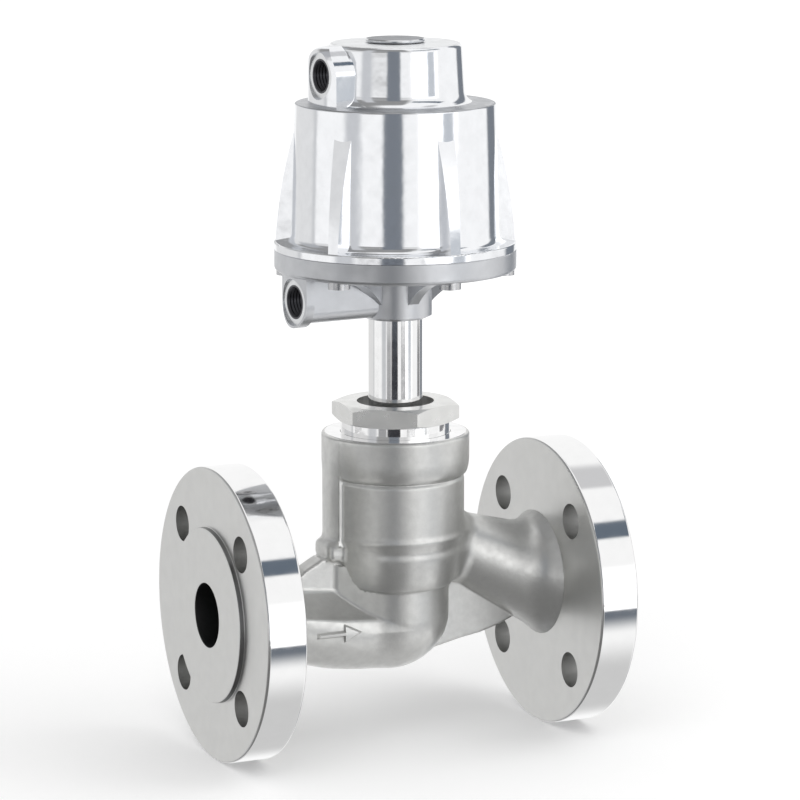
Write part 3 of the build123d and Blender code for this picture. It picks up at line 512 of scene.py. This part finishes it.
PATCH_DETAIL = 3.0
GRAIN_DETAIL = 2.0
NOISE_SPAN = {"From Min": 0.3, "From Max": 0.7}
LEAST_ROUGHNESS = 0.02
WHITE = (1.0, 1.0, 1.0, 1.0)
# Numbers of the colour sockets of a Mix node
MIX_FIRST = 6
MIX_SECOND = 7
MIX_RESULT = 2


def add(tree, kind, inputs=(), **attributes):
    """New shader node with some inputs, each a value or the output of another node."""
    made = tree.nodes.new("ShaderNode" + kind)
    for name, value in attributes.items():
        setattr(made, name, value)
    for name, value in dict(inputs).items():
        if isinstance(value, bpy.types.NodeSocket):
            tree.links.new(value, made.inputs[name])
        else:
            made.inputs[name].default_value = value
    return made


def mix(tree, share, first, second):
    """Colour between two others, by a share from 0 to 1."""
    inputs = {"Factor": share, MIX_FIRST: first, MIX_SECOND: second}
    return add(tree, "Mix", inputs, data_type="RGBA").outputs[MIX_RESULT]


def marks_place(tree, lay):
    """Where a finish is looked up: in space, or by radius and length about the axis of turning."""
    place = add(tree, "TexCoord").outputs["Object"]
    if not lay:
        return place
    offset = (-STEM_X, 0, 0) if lay == "stem" else (0, 0, 0)
    keep = (1, 1, 0) if lay == "stem" else (0, 1, 1)
    along = (0, 0, 1) if lay == "stem" else (1, 0, 0)
    moved = add(tree, "VectorMath", {0: place, 1: offset}, operation="ADD").outputs["Vector"]
    across = add(tree, "VectorMath", {0: moved, 1: keep}, operation="MULTIPLY").outputs["Vector"]
    radius = add(tree, "VectorMath", {0: across}, operation="LENGTH").outputs["Value"]
    length = add(tree, "VectorMath", {0: moved, 1: along}, operation="DOT_PRODUCT").outputs["Value"]
    return add(tree, "CombineXYZ", {"X": radius, "Y": length}).outputs["Vector"]


def finish(name, color, roughness, metallic=1.0, spread=0.04, mottle=0.05, patch=5.0,
           grain=0.01, grain_size=1.2, lay=None, anisotropic=0.0):
    """Surface whose tone and gloss vary in soft patches, with a grain or turned marks in relief."""
    material = bpy.data.materials.new("finish_" + name)
    material.use_nodes = True
    tree = material.node_tree
    shader = tree.nodes["Principled BSDF"]
    shader.inputs["Metallic"].default_value = metallic
    shader.inputs["Anisotropic"].default_value = anisotropic
    place = add(tree, "TexCoord").outputs["Object"]
    patches = {"Vector": place, "Scale": 1 / (patch * MM), "Detail": PATCH_DETAIL}
    around = {"Value": add(tree, "TexNoise", patches).outputs["Fac"], **NOISE_SPAN}
    tone = add(tree, "MapRange", {**around, "To Min": 1 - mottle, "To Max": 1 + mottle})
    toned = add(tree, "VectorMath", {0: color, "Scale": tone.outputs["Result"]}, operation="SCALE")
    tree.links.new(toned.outputs["Vector"], shader.inputs["Base Color"])
    gloss = {"To Min": roughness + spread, "To Max": max(roughness - spread, LEAST_ROUGHNESS)}
    rough = add(tree, "MapRange", {**around, **gloss})
    tree.links.new(rough.outputs["Result"], shader.inputs["Roughness"])
    marks = {"Vector": marks_place(tree, lay), "Scale": 1 / (grain_size * MM)}
    relief = add(tree, "TexNoise", {**marks, "Detail": GRAIN_DETAIL})
    bump = add(tree, "Bump", {"Height": relief.outputs["Fac"], "Distance": grain * MM})
    tree.links.new(bump.outputs["Normal"], shader.inputs["Normal"])
    return material


LOOKS = {
    "cast_steel": dict(color=(0.7, 0.7, 0.685), roughness=0.36, metallic=0.92, spread=0.05,
                       mottle=0.04, patch=3.0, grain=0.035, grain_size=0.9),
    "turned_steel": dict(color=(0.62, 0.615, 0.6), roughness=0.25, grain=0.004, grain_size=0.3,
                         lay="stem"),
    "satin_steel": dict(color=(0.8, 0.8, 0.785), roughness=0.3, mottle=0.02, grain=0.003,
                        grain_size=0.8),
    "polished_tube": dict(color=(0.9, 0.9, 0.9), roughness=0.08, spread=0.02, mottle=0.02,
                          grain=0.004, grain_size=6.0),
    "graphite": dict(color=(0.05, 0.05, 0.05), roughness=0.6, metallic=0.0),
    "ptfe": dict(color=(0.85, 0.85, 0.83), roughness=0.45, metallic=0.0),
    "spring_steel": dict(color=(0.45, 0.46, 0.48), roughness=0.3, grain_size=0.5),
    "satin_base": dict(color=(0.66, 0.67, 0.69), roughness=0.36, mottle=0.03, grain=0.003,
                       grain_size=2.0),
    "polished_housing": dict(color=(0.9, 0.91, 0.93), roughness=0.1, spread=0.03, mottle=0.03,
                             grain=0.05, grain_size=7.0),
    "seal_rubber": dict(color=(0.04, 0.04, 0.04), roughness=0.5, metallic=0.0),
    "screw_steel": dict(color=(0.6, 0.6, 0.61), roughness=0.25, grain_size=0.5),
    "piston_aluminium": dict(color=(0.75, 0.76, 0.77), roughness=0.25, grain_size=0.4, lay="stem"),
    "indicator_metal": dict(color=(0.75, 0.76, 0.78), roughness=0.12, grain=0.003,
                            grain_size=0.6),
}
FINISHES = {slot: finish(slot, **look) for slot, look in LOOKS.items()}
FLANGE_FACE = finish("flange_face", (0.76, 0.76, 0.745), 0.34, mottle=0.012, spread=0.02,
                     lay="pipe", grain=0.0012, grain_size=0.35, anisotropic=0.4)
FLANGE_RIM = finish("flange_rim", (0.92, 0.92, 0.92), 0.07, spread=0.02, mottle=0.01, lay="pipe",
                    grain=0.001, grain_size=0.6)
# Painted shade: the wall of the flange's raised-face step is painted dark grey.
STEP_SHADE = finish("flange_step_painted_shade", (0.3, 0.3, 0.3), 0.35, grain=0.002)
# Painted shade: the bolt holes and the nut's recess are painted a darker grey.
HOLE_SHADE = finish("hole_wall_painted_shade", (0.55, 0.55, 0.54), 0.4)
# Painted shade: the bores and cored passages are painted near black.
CORE_SHADE = finish("cored_passage_painted_shade", (0.12, 0.12, 0.12), 0.5, grain=0.05)
PORT_FACE = finish("port_face", (0.88, 0.89, 0.9), 0.3, grain=0.003)
SHANK = finish("nut_shank", (0.92, 0.92, 0.92), 0.07, spread=0.02, lay="stem", grain=0.0015,
               grain_size=0.5)
# Painted shade: the air ports' tapped holes and threads are painted near black.
THREAD_SHADE = finish("port_thread", (0.1, 0.1, 0.11), 0.35, grain=0.003)
DRUM_FACE = finish("drum_top", (0.86, 0.87, 0.88), 0.38, grain=0.01)
# Painted reflection: the indicator cap's top is painted dark grey in place of a dark reflection.
CAP_REFLECTION = finish("cap_top_painted_reflection", (0.25, 0.26, 0.28), 0.4, grain=0.003)
# Painted shade: the housing's ledge is painted a darker, mottled grey.
LEDGE_SHADE = finish("housing_ledge_painted_shade", (0.5, 0.51, 0.53), 0.4, mottle=0.1, grain=0.02, grain_size=2.0)


# Camera, light and floor

CAMERA_PLACE = (-0.50039, -1.27405, 0.34128)
CAMERA_AZIMUTH = -24.566
CAMERA_ELEVATION = 10.639
SENSOR = 36.0
LENS = 164.02
CLIP_NEAR = 0.05
CLIP_FAR = 50.0


def make_camera():
    """Camera at the photograph's viewing angle."""
    camera = new_object("camera", bpy.data.cameras.new("camera"))
    bpy.context.scene.camera = camera
    a = math.radians(CAMERA_AZIMUTH)
    e = math.radians(CAMERA_ELEVATION)
    back = Vector((math.sin(a) * math.cos(e), -math.cos(a) * math.cos(e), math.sin(e)))
    camera.location = CAMERA_PLACE
    camera.rotation_euler = (-back).to_track_quat("-Z", "Y").to_euler()
    camera.data.sensor_width = SENSOR
    camera.data.lens = LENS
    camera.data.clip_start = CLIP_NEAR
    camera.data.clip_end = CLIP_FAR


# What polished metal mirrors in the white studio: one bright strip light and grey panels round the
# object. Each is azimuth from and to, elevation from and to, width of the soft edge at the sides,
# below and above, all in degrees, and tone. A later one covers an earlier one.
PANELS = (
    (3, 50, -14.5, 14, 3, 1, 4, (1.6, 1.6, 1.6)),
    (-180, 180, -90, -45, 12, 12, 12, (0.62, 0.62, 0.62)),
    (-180, 4, -90, -12.6, 6, 6, 0.6, (0.17, 0.17, 0.17)),
    (-180, 2, 4, 24, 8, 4, 4, (0.75, 0.75, 0.75)),
    (-180, 2, 24, 75, 8, 4, 8, (0.3, 0.3, 0.3)),
    (-66, -36, 2, 24, 3, 2, 4, (0.35, 0.35, 0.35)),
    (-160, -125, -60, 40, 3, 6, 6, (0.45, 0.46, 0.48)),
    (-83, -64, -12.6, 45, 4, 1, 5, (0.6, 0.61, 0.63)),
    (-38, -16, -12.6, 34, 2, 1, 2, (0.2, 0.22, 0.25)),
    (31, 45, -11, 3, 2, 1, 1, (0.55, 0.58, 0.62)),
    (12, 60, -25, -14.5, 2, 7, 0.8, (0.16, 0.18, 0.21)),
    (104, 130, -40, 36, 3, 3, 3, (0.2, 0.22, 0.25)),
    (8, 75, 36, 47, 2, 1, 1, (0.13, 0.16, 0.2)),
    (84, 150, 56, 67, 4, 3, 3, (0.62, 0.62, 0.63)),
    (-180, -128, -40, 15, 6, 10, 10, (0.78, 0.78, 0.78)),
    (-119, -100, -12.6, -11.2, 1, 1, 0.2, (0.1, 0.1, 0.11)),
    (-60, -43, -12.6, -9.3, 1, 1, 0.2, (0.33, 0.33, 0.34)),
    (-41, -14, -12.6, -9.3, 1, 1, 0.2, (0.03, 0.03, 0.035)),
    (0, 19, -11.2, -9.3, 1, 0.2, 0.2, (0.3, 0.3, 0.31)),
    (40, 51, -14, -11.2, 1, 1, 0.2, (0.5, 0.5, 0.5)),
    (82, 100, -14, -9.3, 1, 1, 0.2, (0.25, 0.25, 0.26)),
)
# Tone of the room for every ray but camera, transmission and mirror rays
ROOM = 0.75


def edge_mask(tree, value, low, high, soft_low, soft_high):
    """1 between two limits and 0 outside them, with soft edges."""
    smooth = {"interpolation_type": "SMOOTHSTEP"}
    rising = {"Value": value, "From Min": low - soft_low, "From Max": low + soft_low}
    rising = add(tree, "MapRange", rising, **smooth)
    falling = {"Value": value, "From Min": high - soft_high, "From Max": high + soft_high}
    falling = add(tree, "MapRange", {**falling, "To Min": 1.0, "To Max": 0.0}, **smooth)
    both = {0: rising.outputs["Result"], 1: falling.outputs["Result"]}
    return add(tree, "Math", both, operation="MULTIPLY").outputs["Value"]


def make_world():
    """White studio, in which mirror rays alone see the panels."""
    world = bpy.data.worlds.new("studio")
    bpy.context.scene.world = world
    world.use_nodes = True
    world.cycles.sampling_method = "NONE"
    tree = world.node_tree
    direction = add(tree, "TexCoord").outputs["Generated"]
    parts = add(tree, "SeparateXYZ", {"Vector": direction})
    forward = add(tree, "Math", {0: parts.outputs["Y"], 1: -1.0}, operation="MULTIPLY")
    turn = {0: parts.outputs["X"], 1: forward.outputs["Value"]}
    azimuth = add(tree, "Math", turn, operation="ARCTAN2").outputs["Value"]
    azimuth = add(tree, "Math", {0: azimuth}, operation="DEGREES").outputs["Value"]
    height = add(tree, "Math", {0: parts.outputs["Z"]}, operation="ARCSINE").outputs["Value"]
    elevation = add(tree, "Math", {0: height}, operation="DEGREES").outputs["Value"]
    seen = WHITE
    for az_low, az_high, el_low, el_high, beside, below, above, tone in PANELS:
        across = edge_mask(tree, azimuth, az_low, az_high, beside, beside)
        upright = edge_mask(tree, elevation, el_low, el_high, below, above)
        mask = add(tree, "Math", {0: across, 1: upright}, operation="MULTIPLY").outputs["Value"]
        seen = mix(tree, mask, seen, (*tone, 1.0))
    path = add(tree, "LightPath").outputs
    lit = mix(tree, path["Is Glossy Ray"], (ROOM, ROOM, ROOM, 1.0), seen)
    for ray in ("Is Camera Ray", "Is Transmission Ray"):
        lit = mix(tree, path[ray], lit, WHITE)
    tree.links.new(lit, tree.nodes["Background"].inputs["Color"])


LAMP_SIZE = 1.4
LAMP_POWER = 9.0
LAMP_AIM = (STEM_X, 0, 0.08)


def make_lamp(name, place):
    """Large soft lamp that points at the object and isn't seen in it."""
    lamp = new_object(name, bpy.data.lights.new(name, "AREA"))
    lamp.data.size = LAMP_SIZE
    lamp.data.energy = LAMP_POWER
    lamp.location = place
    lamp.rotation_euler = (Vector(LAMP_AIM) - lamp.location).to_track_quat("-Z", "Y").to_euler()
    lamp.visible_glossy = False


FLOOR_HALF = 4.0
FLOOR_TONE = 0.93
FLOOR_CLOUD = 0.005
FLOOR_CLOUD_SCALE = 2.0
FLOOR_ROUGHNESS = 0.9
# Light that the floor adds for the camera alone, near the object and far from it, and where
# the one gives way to the other
FLOOR_LIFT = 0.12
FAR_LIFT = 0.4
FAR_FROM = 0.3
FAR_TO = 1.2


def make_floor():
    """Pale floor that keeps the object's soft shadow and is left out of its reflections."""
    sides = ((-1, -1), (1, -1), (1, 1), (-1, 1))
    corners = [(FLOOR_HALF * u, FLOOR_HALF * v, body_low.z) for u, v in sides]
    mesh = bpy.data.meshes.new("floor")
    mesh.from_pydata(corners, [], [(0, 1, 2, 3)])
    floor = new_object("floor", mesh)
    material = bpy.data.materials.new("floor_paint")
    material.use_nodes = True
    tree = material.node_tree
    shader = tree.nodes["Principled BSDF"]
    shader.inputs["Roughness"].default_value = FLOOR_ROUGHNESS
    shader.inputs["Specular IOR Level"].default_value = 0.0
    place = add(tree, "TexCoord").outputs["Object"]
    cloud = add(tree, "TexNoise", {"Vector": place, "Scale": FLOOR_CLOUD_SCALE}).outputs["Fac"]
    tones = {"To Min": FLOOR_TONE - FLOOR_CLOUD, "To Max": FLOOR_TONE + FLOOR_CLOUD}
    tone = add(tree, "MapRange", {"Value": cloud, **tones}).outputs["Result"]
    tree.links.new(tone, shader.inputs["Base Color"])
    shader.inputs["Emission Color"].default_value = WHITE
    away = add(tree, "VectorMath", {0: place}, operation="LENGTH").outputs["Value"]
    fading = {"Value": away, "From Min": FAR_FROM, "From Max": FAR_TO}
    fading = {**fading, "To Min": FLOOR_LIFT, "To Max": FAR_LIFT}
    lift = add(tree, "MapRange", fading, interpolation_type="SMOOTHSTEP").outputs["Result"]
    shown = {0: add(tree, "LightPath").outputs["Is Camera Ray"], 1: lift}
    shown = add(tree, "Math", shown, operation="MULTIPLY").outputs["Value"]
    tree.links.new(shown, shader.inputs["Emission Strength"])
    mesh.materials.append(material)
    floor.visible_glossy = False


# Pieces

def make_casting():
    """The body between its flanges, one cast form with blended valleys."""
    low = (-NECK_END - 2 * CELL, -COLLAR_RADIUS - CELL, -DIP - INLET_RADIUS - 2 * CELL)
    high = (NECK_END + 2 * CELL, COLLAR_RADIUS + CELL, COLLAR_TOP + CELL)
    points, faces, normals = field_mesh(casting, low, high, CELL)
    piece = mesh_piece("body_casting", points, faces, "valve",
                       FINISHES["cast_steel"], angle=None)
    # Faces of the bored and cored hollows get the near-black painted shade.
    piece.data.materials.append(CORE_SHADE)
    hollow_shade = np.abs(cast_hollow(*points.T)) < CELL / 4
    piece.data.polygons.foreach_set("material_index", hollow_shade[faces].all(1).astype(np.int32))
    piece.data.normals_split_custom_set_from_vertices(normals.tolist())
    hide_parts("valve_body")


def drill(piece, side):
    """Bolt holes of one flange, cut through the piece."""
    half = END / 2
    outline = [(-half, DRILL_CORE), (-half, BOLT_RADIUS), (half, BOLT_RADIUS), (half, DRILL_CORE)]
    points, faces = turned(outline, "pipe", steps=DRILL_STEPS)
    faces = outward(points, faces)
    tools = []
    for index in range(BOLT_COUNT):
        turn = 2 * math.pi * (index + 0.5) / BOLT_COUNT
        offset = (side * END, BOLT_CIRCLE * math.sin(turn), BOLT_CIRCLE * math.cos(turn))
        mesh = bpy.data.meshes.new("drill")
        mesh.from_pydata(to_frame(points + offset).tolist(), [], faces.tolist())
        # The bolt holes' walls take the darker painted shade.
        mesh.materials.append(HOLE_SHADE)
        tools.append(new_object("drill", mesh))
    for tool in tools:
        cut = piece.modifiers.new("hole", "BOOLEAN")
        cut.operation = "DIFFERENCE"
        cut.object = tool
        cut.solver = "EXACT"
        cut.material_mode = "TRANSFER"
    shape = piece.evaluated_get(bpy.context.evaluated_depsgraph_get())
    mesh = bpy.data.meshes.new_from_object(shape)
    piece.modifiers.clear()
    piece.data = mesh
    for tool in tools:
        bpy.data.objects.remove(tool)


def make_flange(name, side):
    """Turned flange with its raised face, polished rim and bolt holes."""
    face = END - RAISED_HEIGHT
    corners = [
        (NECK_END, BORE_RADIUS),
        (NECK_END, FLANGE_RADIUS),
        (face, FLANGE_RADIUS),
        (face, RAISED_RADIUS),
        (END, RAISED_RADIUS),
        (END, BORE_RADIUS),
    ]
    radii = (0, RIM_EDGE, RIM_EDGE, SMALL_EDGE, SMALL_EDGE, SMALL_EDGE)
    outline = [(side * x, radius) for x, radius in rounded(corners, radii)]
    points, faces = turned(outline, "pipe")
    faces = outward(points, faces)
    piece = mesh_piece(name, points, faces, "valve", FLANGE_FACE, angle=None)
    finishes = (FLANGE_FACE, FLANGE_RIM, CORE_SHADE, STEP_SHADE)
    for material in finishes[1:]:
        piece.data.materials.append(material)
    for polygon in piece.data.polygons:
        radius = math.hypot(polygon.center.y, polygon.center.z) / MM
        material = FLANGE_RIM if radius > FLANGE_RADIUS - RIM_EDGE / 4 else FLANGE_FACE
        # The bore takes the near-black painted shade.
        if radius < BORE_RADIUS + SMALL_EDGE / 2:
            material = CORE_SHADE
        # The raised face's step wall takes the dark painted shade.
        if abs(radius - RAISED_RADIUS) < SMALL_EDGE / 4:
            material = STEP_SHADE
        polygon.material_index = finishes.index(material)
    drill(piece, side)
    piece.data.shade_smooth()
    piece.data.set_sharp_from_angle(angle=math.radians(FLANGE_SHARP_ANGLE))
    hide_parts("valve_body")


def make_collar_top():
    """Machined top of the collar, with the grooves of its thread."""
    low = COLLAR_TOP - COLLAR_THREAD_TURNS * COLLAR_THREAD_PITCH
    corners = [(low, COLLAR_RADIUS - COLLAR_BLEND), (COLLAR_TOP, COLLAR_RADIUS - COLLAR_BLEND)]
    radii = [0, SMALL_EDGE]
    for index in range(COLLAR_THREAD_TURNS):
        top = COLLAR_TOP - TOP_RECESS - index * COLLAR_THREAD_PITCH
        corners.append((top, NUT_THREAD))
        corners.append((top - COLLAR_THREAD_PITCH / 2, NUT_THREAD + COLLAR_THREAD_DEPTH))
        radii += [0, 0]
    corners.append((low, NUT_THREAD))
    radii.append(0)
    points, faces = turned(rounded(corners, radii), "stem")
    mesh_piece("collar_top", points, outward(points, faces), "valve", SHANK)


def make_arrow():
    """Raised flow arrow on the front of the inlet neck."""
    straight = np.linspace(2 * ARROW_DRAFT, ARROW_SHAFT, ARROW_STATIONS)
    shaft = [(u, ARROW_LINE) for u in (0, ARROW_DRAFT, *straight)]
    tapering = np.linspace(0, ARROW_TIP, ARROW_STATIONS)
    head = [(ARROW_SHAFT + ARROW_HEAD * s, ARROW_HALF * (1 - s)) for s in tapering]
    stations = np.array(shaft + head)
    across = np.linspace(-1, 1, ARROW_ROWS)
    x = np.repeat(ARROW_X + stations[:, 0], len(across))
    z = ARROW_Z + np.outer(stations[:, 1], across).ravel()
    outside = np.full(len(x), -COLLAR_RADIUS)
    inside = np.full(len(x), -INLET_WEB_HALF)
    for _ in range(SEARCH_STEPS):
        middle = (outside + inside) / 2
        metal = cast_outside(x, middle, z) < 0
        inside = np.where(metal, middle, inside)
        outside = np.where(metal, outside, middle)
    from_side = np.outer(stations[:, 1], 1 - np.abs(across)).ravel()
    from_tail = x - ARROW_X
    raised = ARROW_RAISE * np.clip(np.minimum(from_side, from_tail) / ARROW_DRAFT, 0, 1)
    top = np.stack([x, inside - raised, z], 1)
    foot = np.stack([x, inside + ARROW_SINK, z], 1)
    count, wide = len(stations), len(across)
    first = wide * np.arange(count - 1)[:, None] + np.arange(wide - 1)
    grid = np.stack([first, first + wide, first + wide + 1, first + 1], 2).reshape(-1, 4)
    edge = [wide * index for index in range(count)]
    edge += list(range(edge[-1] + 1, wide * count))
    edge += [wide * index + wide - 1 for index in reversed(range(count - 1))]
    edge += list(range(wide - 2, 0, -1))
    here = np.array(edge)
    ahead = np.roll(here, -1)
    sides = np.stack([here, here + len(top), ahead + len(top), ahead], 1)
    faces = np.concatenate([grid, grid[:, ::-1] + len(top), sides])
    points = np.concatenate([top, foot])
    faces = outward(points, faces)
    mesh_piece("flow_arrow", points, faces, "valve", FINISHES["cast_steel"])


def make_spring(name, mean, wire, base, length, turns):
    """Closing spring of round wire, at the length of its piece in the frame."""
    steps = turns * COIL_STEPS
    share = np.linspace(0, 1, steps + 1)
    turn = 2 * math.pi * turns * share
    rise = length - wire
    climb = np.full(len(turn), rise / turns / 2 / math.pi)
    cos, sin = np.cos(turn), np.sin(turn)
    centre = np.stack([cos * mean / 2, sin * mean / 2, base + wire / 2 + rise * share], 1)
    out = np.stack([cos, sin, 0 * turn], 1)
    forward = np.stack([-sin * mean / 2, cos * mean / 2, climb], 1)
    forward /= np.linalg.norm(forward, axis=1)[:, None]
    up = np.cross(out, forward)
    points = []
    for index in range(WIRE_STEPS):
        a = 2 * math.pi * index / WIRE_STEPS
        points.append(centre + wire / 2 * (out * math.cos(a) + up * math.sin(a)))
    points = np.stack(points, 1).reshape(-1, 3)
    first = np.arange(steps) * WIRE_STEPS
    quads = outward(points, ring_faces(first, first + WIRE_STEPS, WIRE_STEPS)).tolist()
    last = steps * WIRE_STEPS
    caps = [list(range(WIRE_STEPS)), list(range(last, last + WIRE_STEPS))[::-1]]
    piece = mesh_piece(name, points, quads + caps, "actuator",
                       FINISHES["spring_steel"], angle=SPRING_SHARP_ANGLE)
    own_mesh(piece)
    return piece


def paint(name, material, picked):
    """Another finish on those faces of a CAD piece whose centres pass a test."""
    mesh = nodes[name].data
    centres = np.empty(3 * len(mesh.polygons))
    mesh.polygons.foreach_get("center", centres)
    centres = centres.reshape(-1, 3) / MM - (STEM_X / MM, 0, 0)
    index = np.empty(len(mesh.polygons), np.int32)
    mesh.polygons.foreach_get("material_index", index)
    index[picked(*centres.T)] = len(mesh.materials)
    mesh.materials.append(material)
    mesh.polygons.foreach_set("material_index", index)


def within(radius, top):
    """Test for what lies inside a radius about the stem's axis and below a height."""
    return lambda x, y, z: (np.hypot(x, y) < radius) & (z < top)


def port_view(x, y, z, height):
    """Distance out along a port and distance from its middle line."""
    turn = math.radians(PORT_TURN)
    out = x * math.cos(turn) + y * math.sin(turn)
    return out, np.hypot(y * math.cos(turn) - x * math.sin(turn), z - height)


def paint_port(name, port):
    """Pale machined face of an air port, and near-black painted shade in its tapped hole."""
    spot, height = port

    def on_face(x, y, z):
        out, away = port_view(x, y, z, height)
        return (np.abs(out - spot) < SMALL_EDGE) & (away < PORT_SPOT)

    def in_shaded_hole(x, y, z):
        out, away = port_view(x, y, z, height)
        return (out > 0) & (out < spot - SMALL_EDGE) & (away < PORT_RADIUS + SMALL_EDGE / 2)

    paint(name, PORT_FACE, on_face)
    paint(name, THREAD_SHADE, in_shaded_hole)


def make_port_thread(name, port):
    """Thread of an air port, with its countersunk mouth."""
    spot, height = port
    turns = int(PORT_THREAD / PORT_PITCH)
    angle = np.linspace(0, 2 * math.pi * turns, THREAD_STEPS * turns + 1)
    depth = spot - PORT_PITCH - PORT_PITCH * angle / (2 * math.pi)
    rows = []
    for shift, radius in ((0.5, PORT_RADIUS), (0.0, PORT_CREST), (-0.5, PORT_RADIUS)):
        rows.append((depth + shift * PORT_PITCH, radius * np.cos(angle), radius * np.sin(angle)))
    ridge = np.stack([np.stack(row, 1) for row in rows], 1).reshape(-1, 3)
    first = 3 * np.arange(len(angle) - 1)[:, None] + np.arange(2)
    faces = np.stack([first, first + 1, first + 4, first + 3], 2).reshape(-1, 4)
    mouth = []
    circle = 2 * math.pi * np.arange(THREAD_STEPS) / THREAD_STEPS
    for out, radius in ((PORT_PROUD, PORT_MOUTH), (PORT_PROUD, PORT_RADIUS),
                        (-PORT_PITCH / 2, PORT_CREST)):
        beside, up = radius * np.cos(circle), radius * np.sin(circle)
        mouth.append(np.stack([spot + out + 0 * circle, beside, up], 1))
    first = len(ridge) + THREAD_STEPS * np.arange(2)
    rings = ring_faces(first, first + THREAD_STEPS, THREAD_STEPS)
    out, beside, up = np.concatenate([ridge, *mouth]).T
    turn = math.radians(PORT_TURN)
    x = out * math.cos(turn) - beside * math.sin(turn)
    y = out * math.sin(turn) + beside * math.cos(turn)
    points = np.stack([x, y, up + height], 1)
    faces = np.concatenate([faces, rings])
    # The thread is painted near black as painted shade.
    mesh_piece(name, points, faces, "actuator", THREAD_SHADE)


make_camera()
make_world()
make_lamp("key_lamp", (-0.9, -1.2, 1.7))
make_lamp("fill_lamp", (1.3, -0.6, 1.5))
make_floor()

make_casting()
make_flange("inlet_flange", -1)
make_flange("outlet_flange", 1)
make_collar_top()
make_arrow()
make_port_thread("lower_port_thread", LOWER_PORT)
make_port_thread("upper_port_thread", UPPER_PORT)
for name, wire, turns in SPRINGS:
    low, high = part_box(name)
    length = (high.z - low.z) / MM
    mean = (high.x - low.x) / MM - wire
    spring = make_spring(name + "_wire", mean, wire, low.z / MM, length, turns)
    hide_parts(name)

for node in nodes.values():
    node.material_slots[0].material = FINISHES[node.material_slots[0].material.name]
paint_port("actuator_base", LOWER_PORT)
paint_port("actuator_housing", UPPER_PORT)
paint("bonnet_nut", SHANK, within(SHANK_RADIUS, NUT_TOP - HEX_HEIGHT - SMALL_EDGE))
# The nut's recess takes the darker painted shade.
paint("bonnet_nut", HOLE_SHADE, within(RECESS_RADIUS, NUT_TOP - SMALL_EDGE))
paint("actuator_housing", DRUM_FACE, lambda x, y, z: z > DRUM_TOP - SMALL_EDGE)
# The cap's top takes the dark painted reflection.
paint("indicator_cap", CAP_REFLECTION, lambda x, y, z: z > CAP_TOP - SMALL_EDGE / 4)
# The housing's ledge takes the darker painted shade.
paint("actuator_housing", LEDGE_SHADE, lambda x, y, z: np.abs(z - LEDGE_HEIGHT) < SMALL_EDGE)

bpy.context.scene.view_settings.view_transform = "Standard"
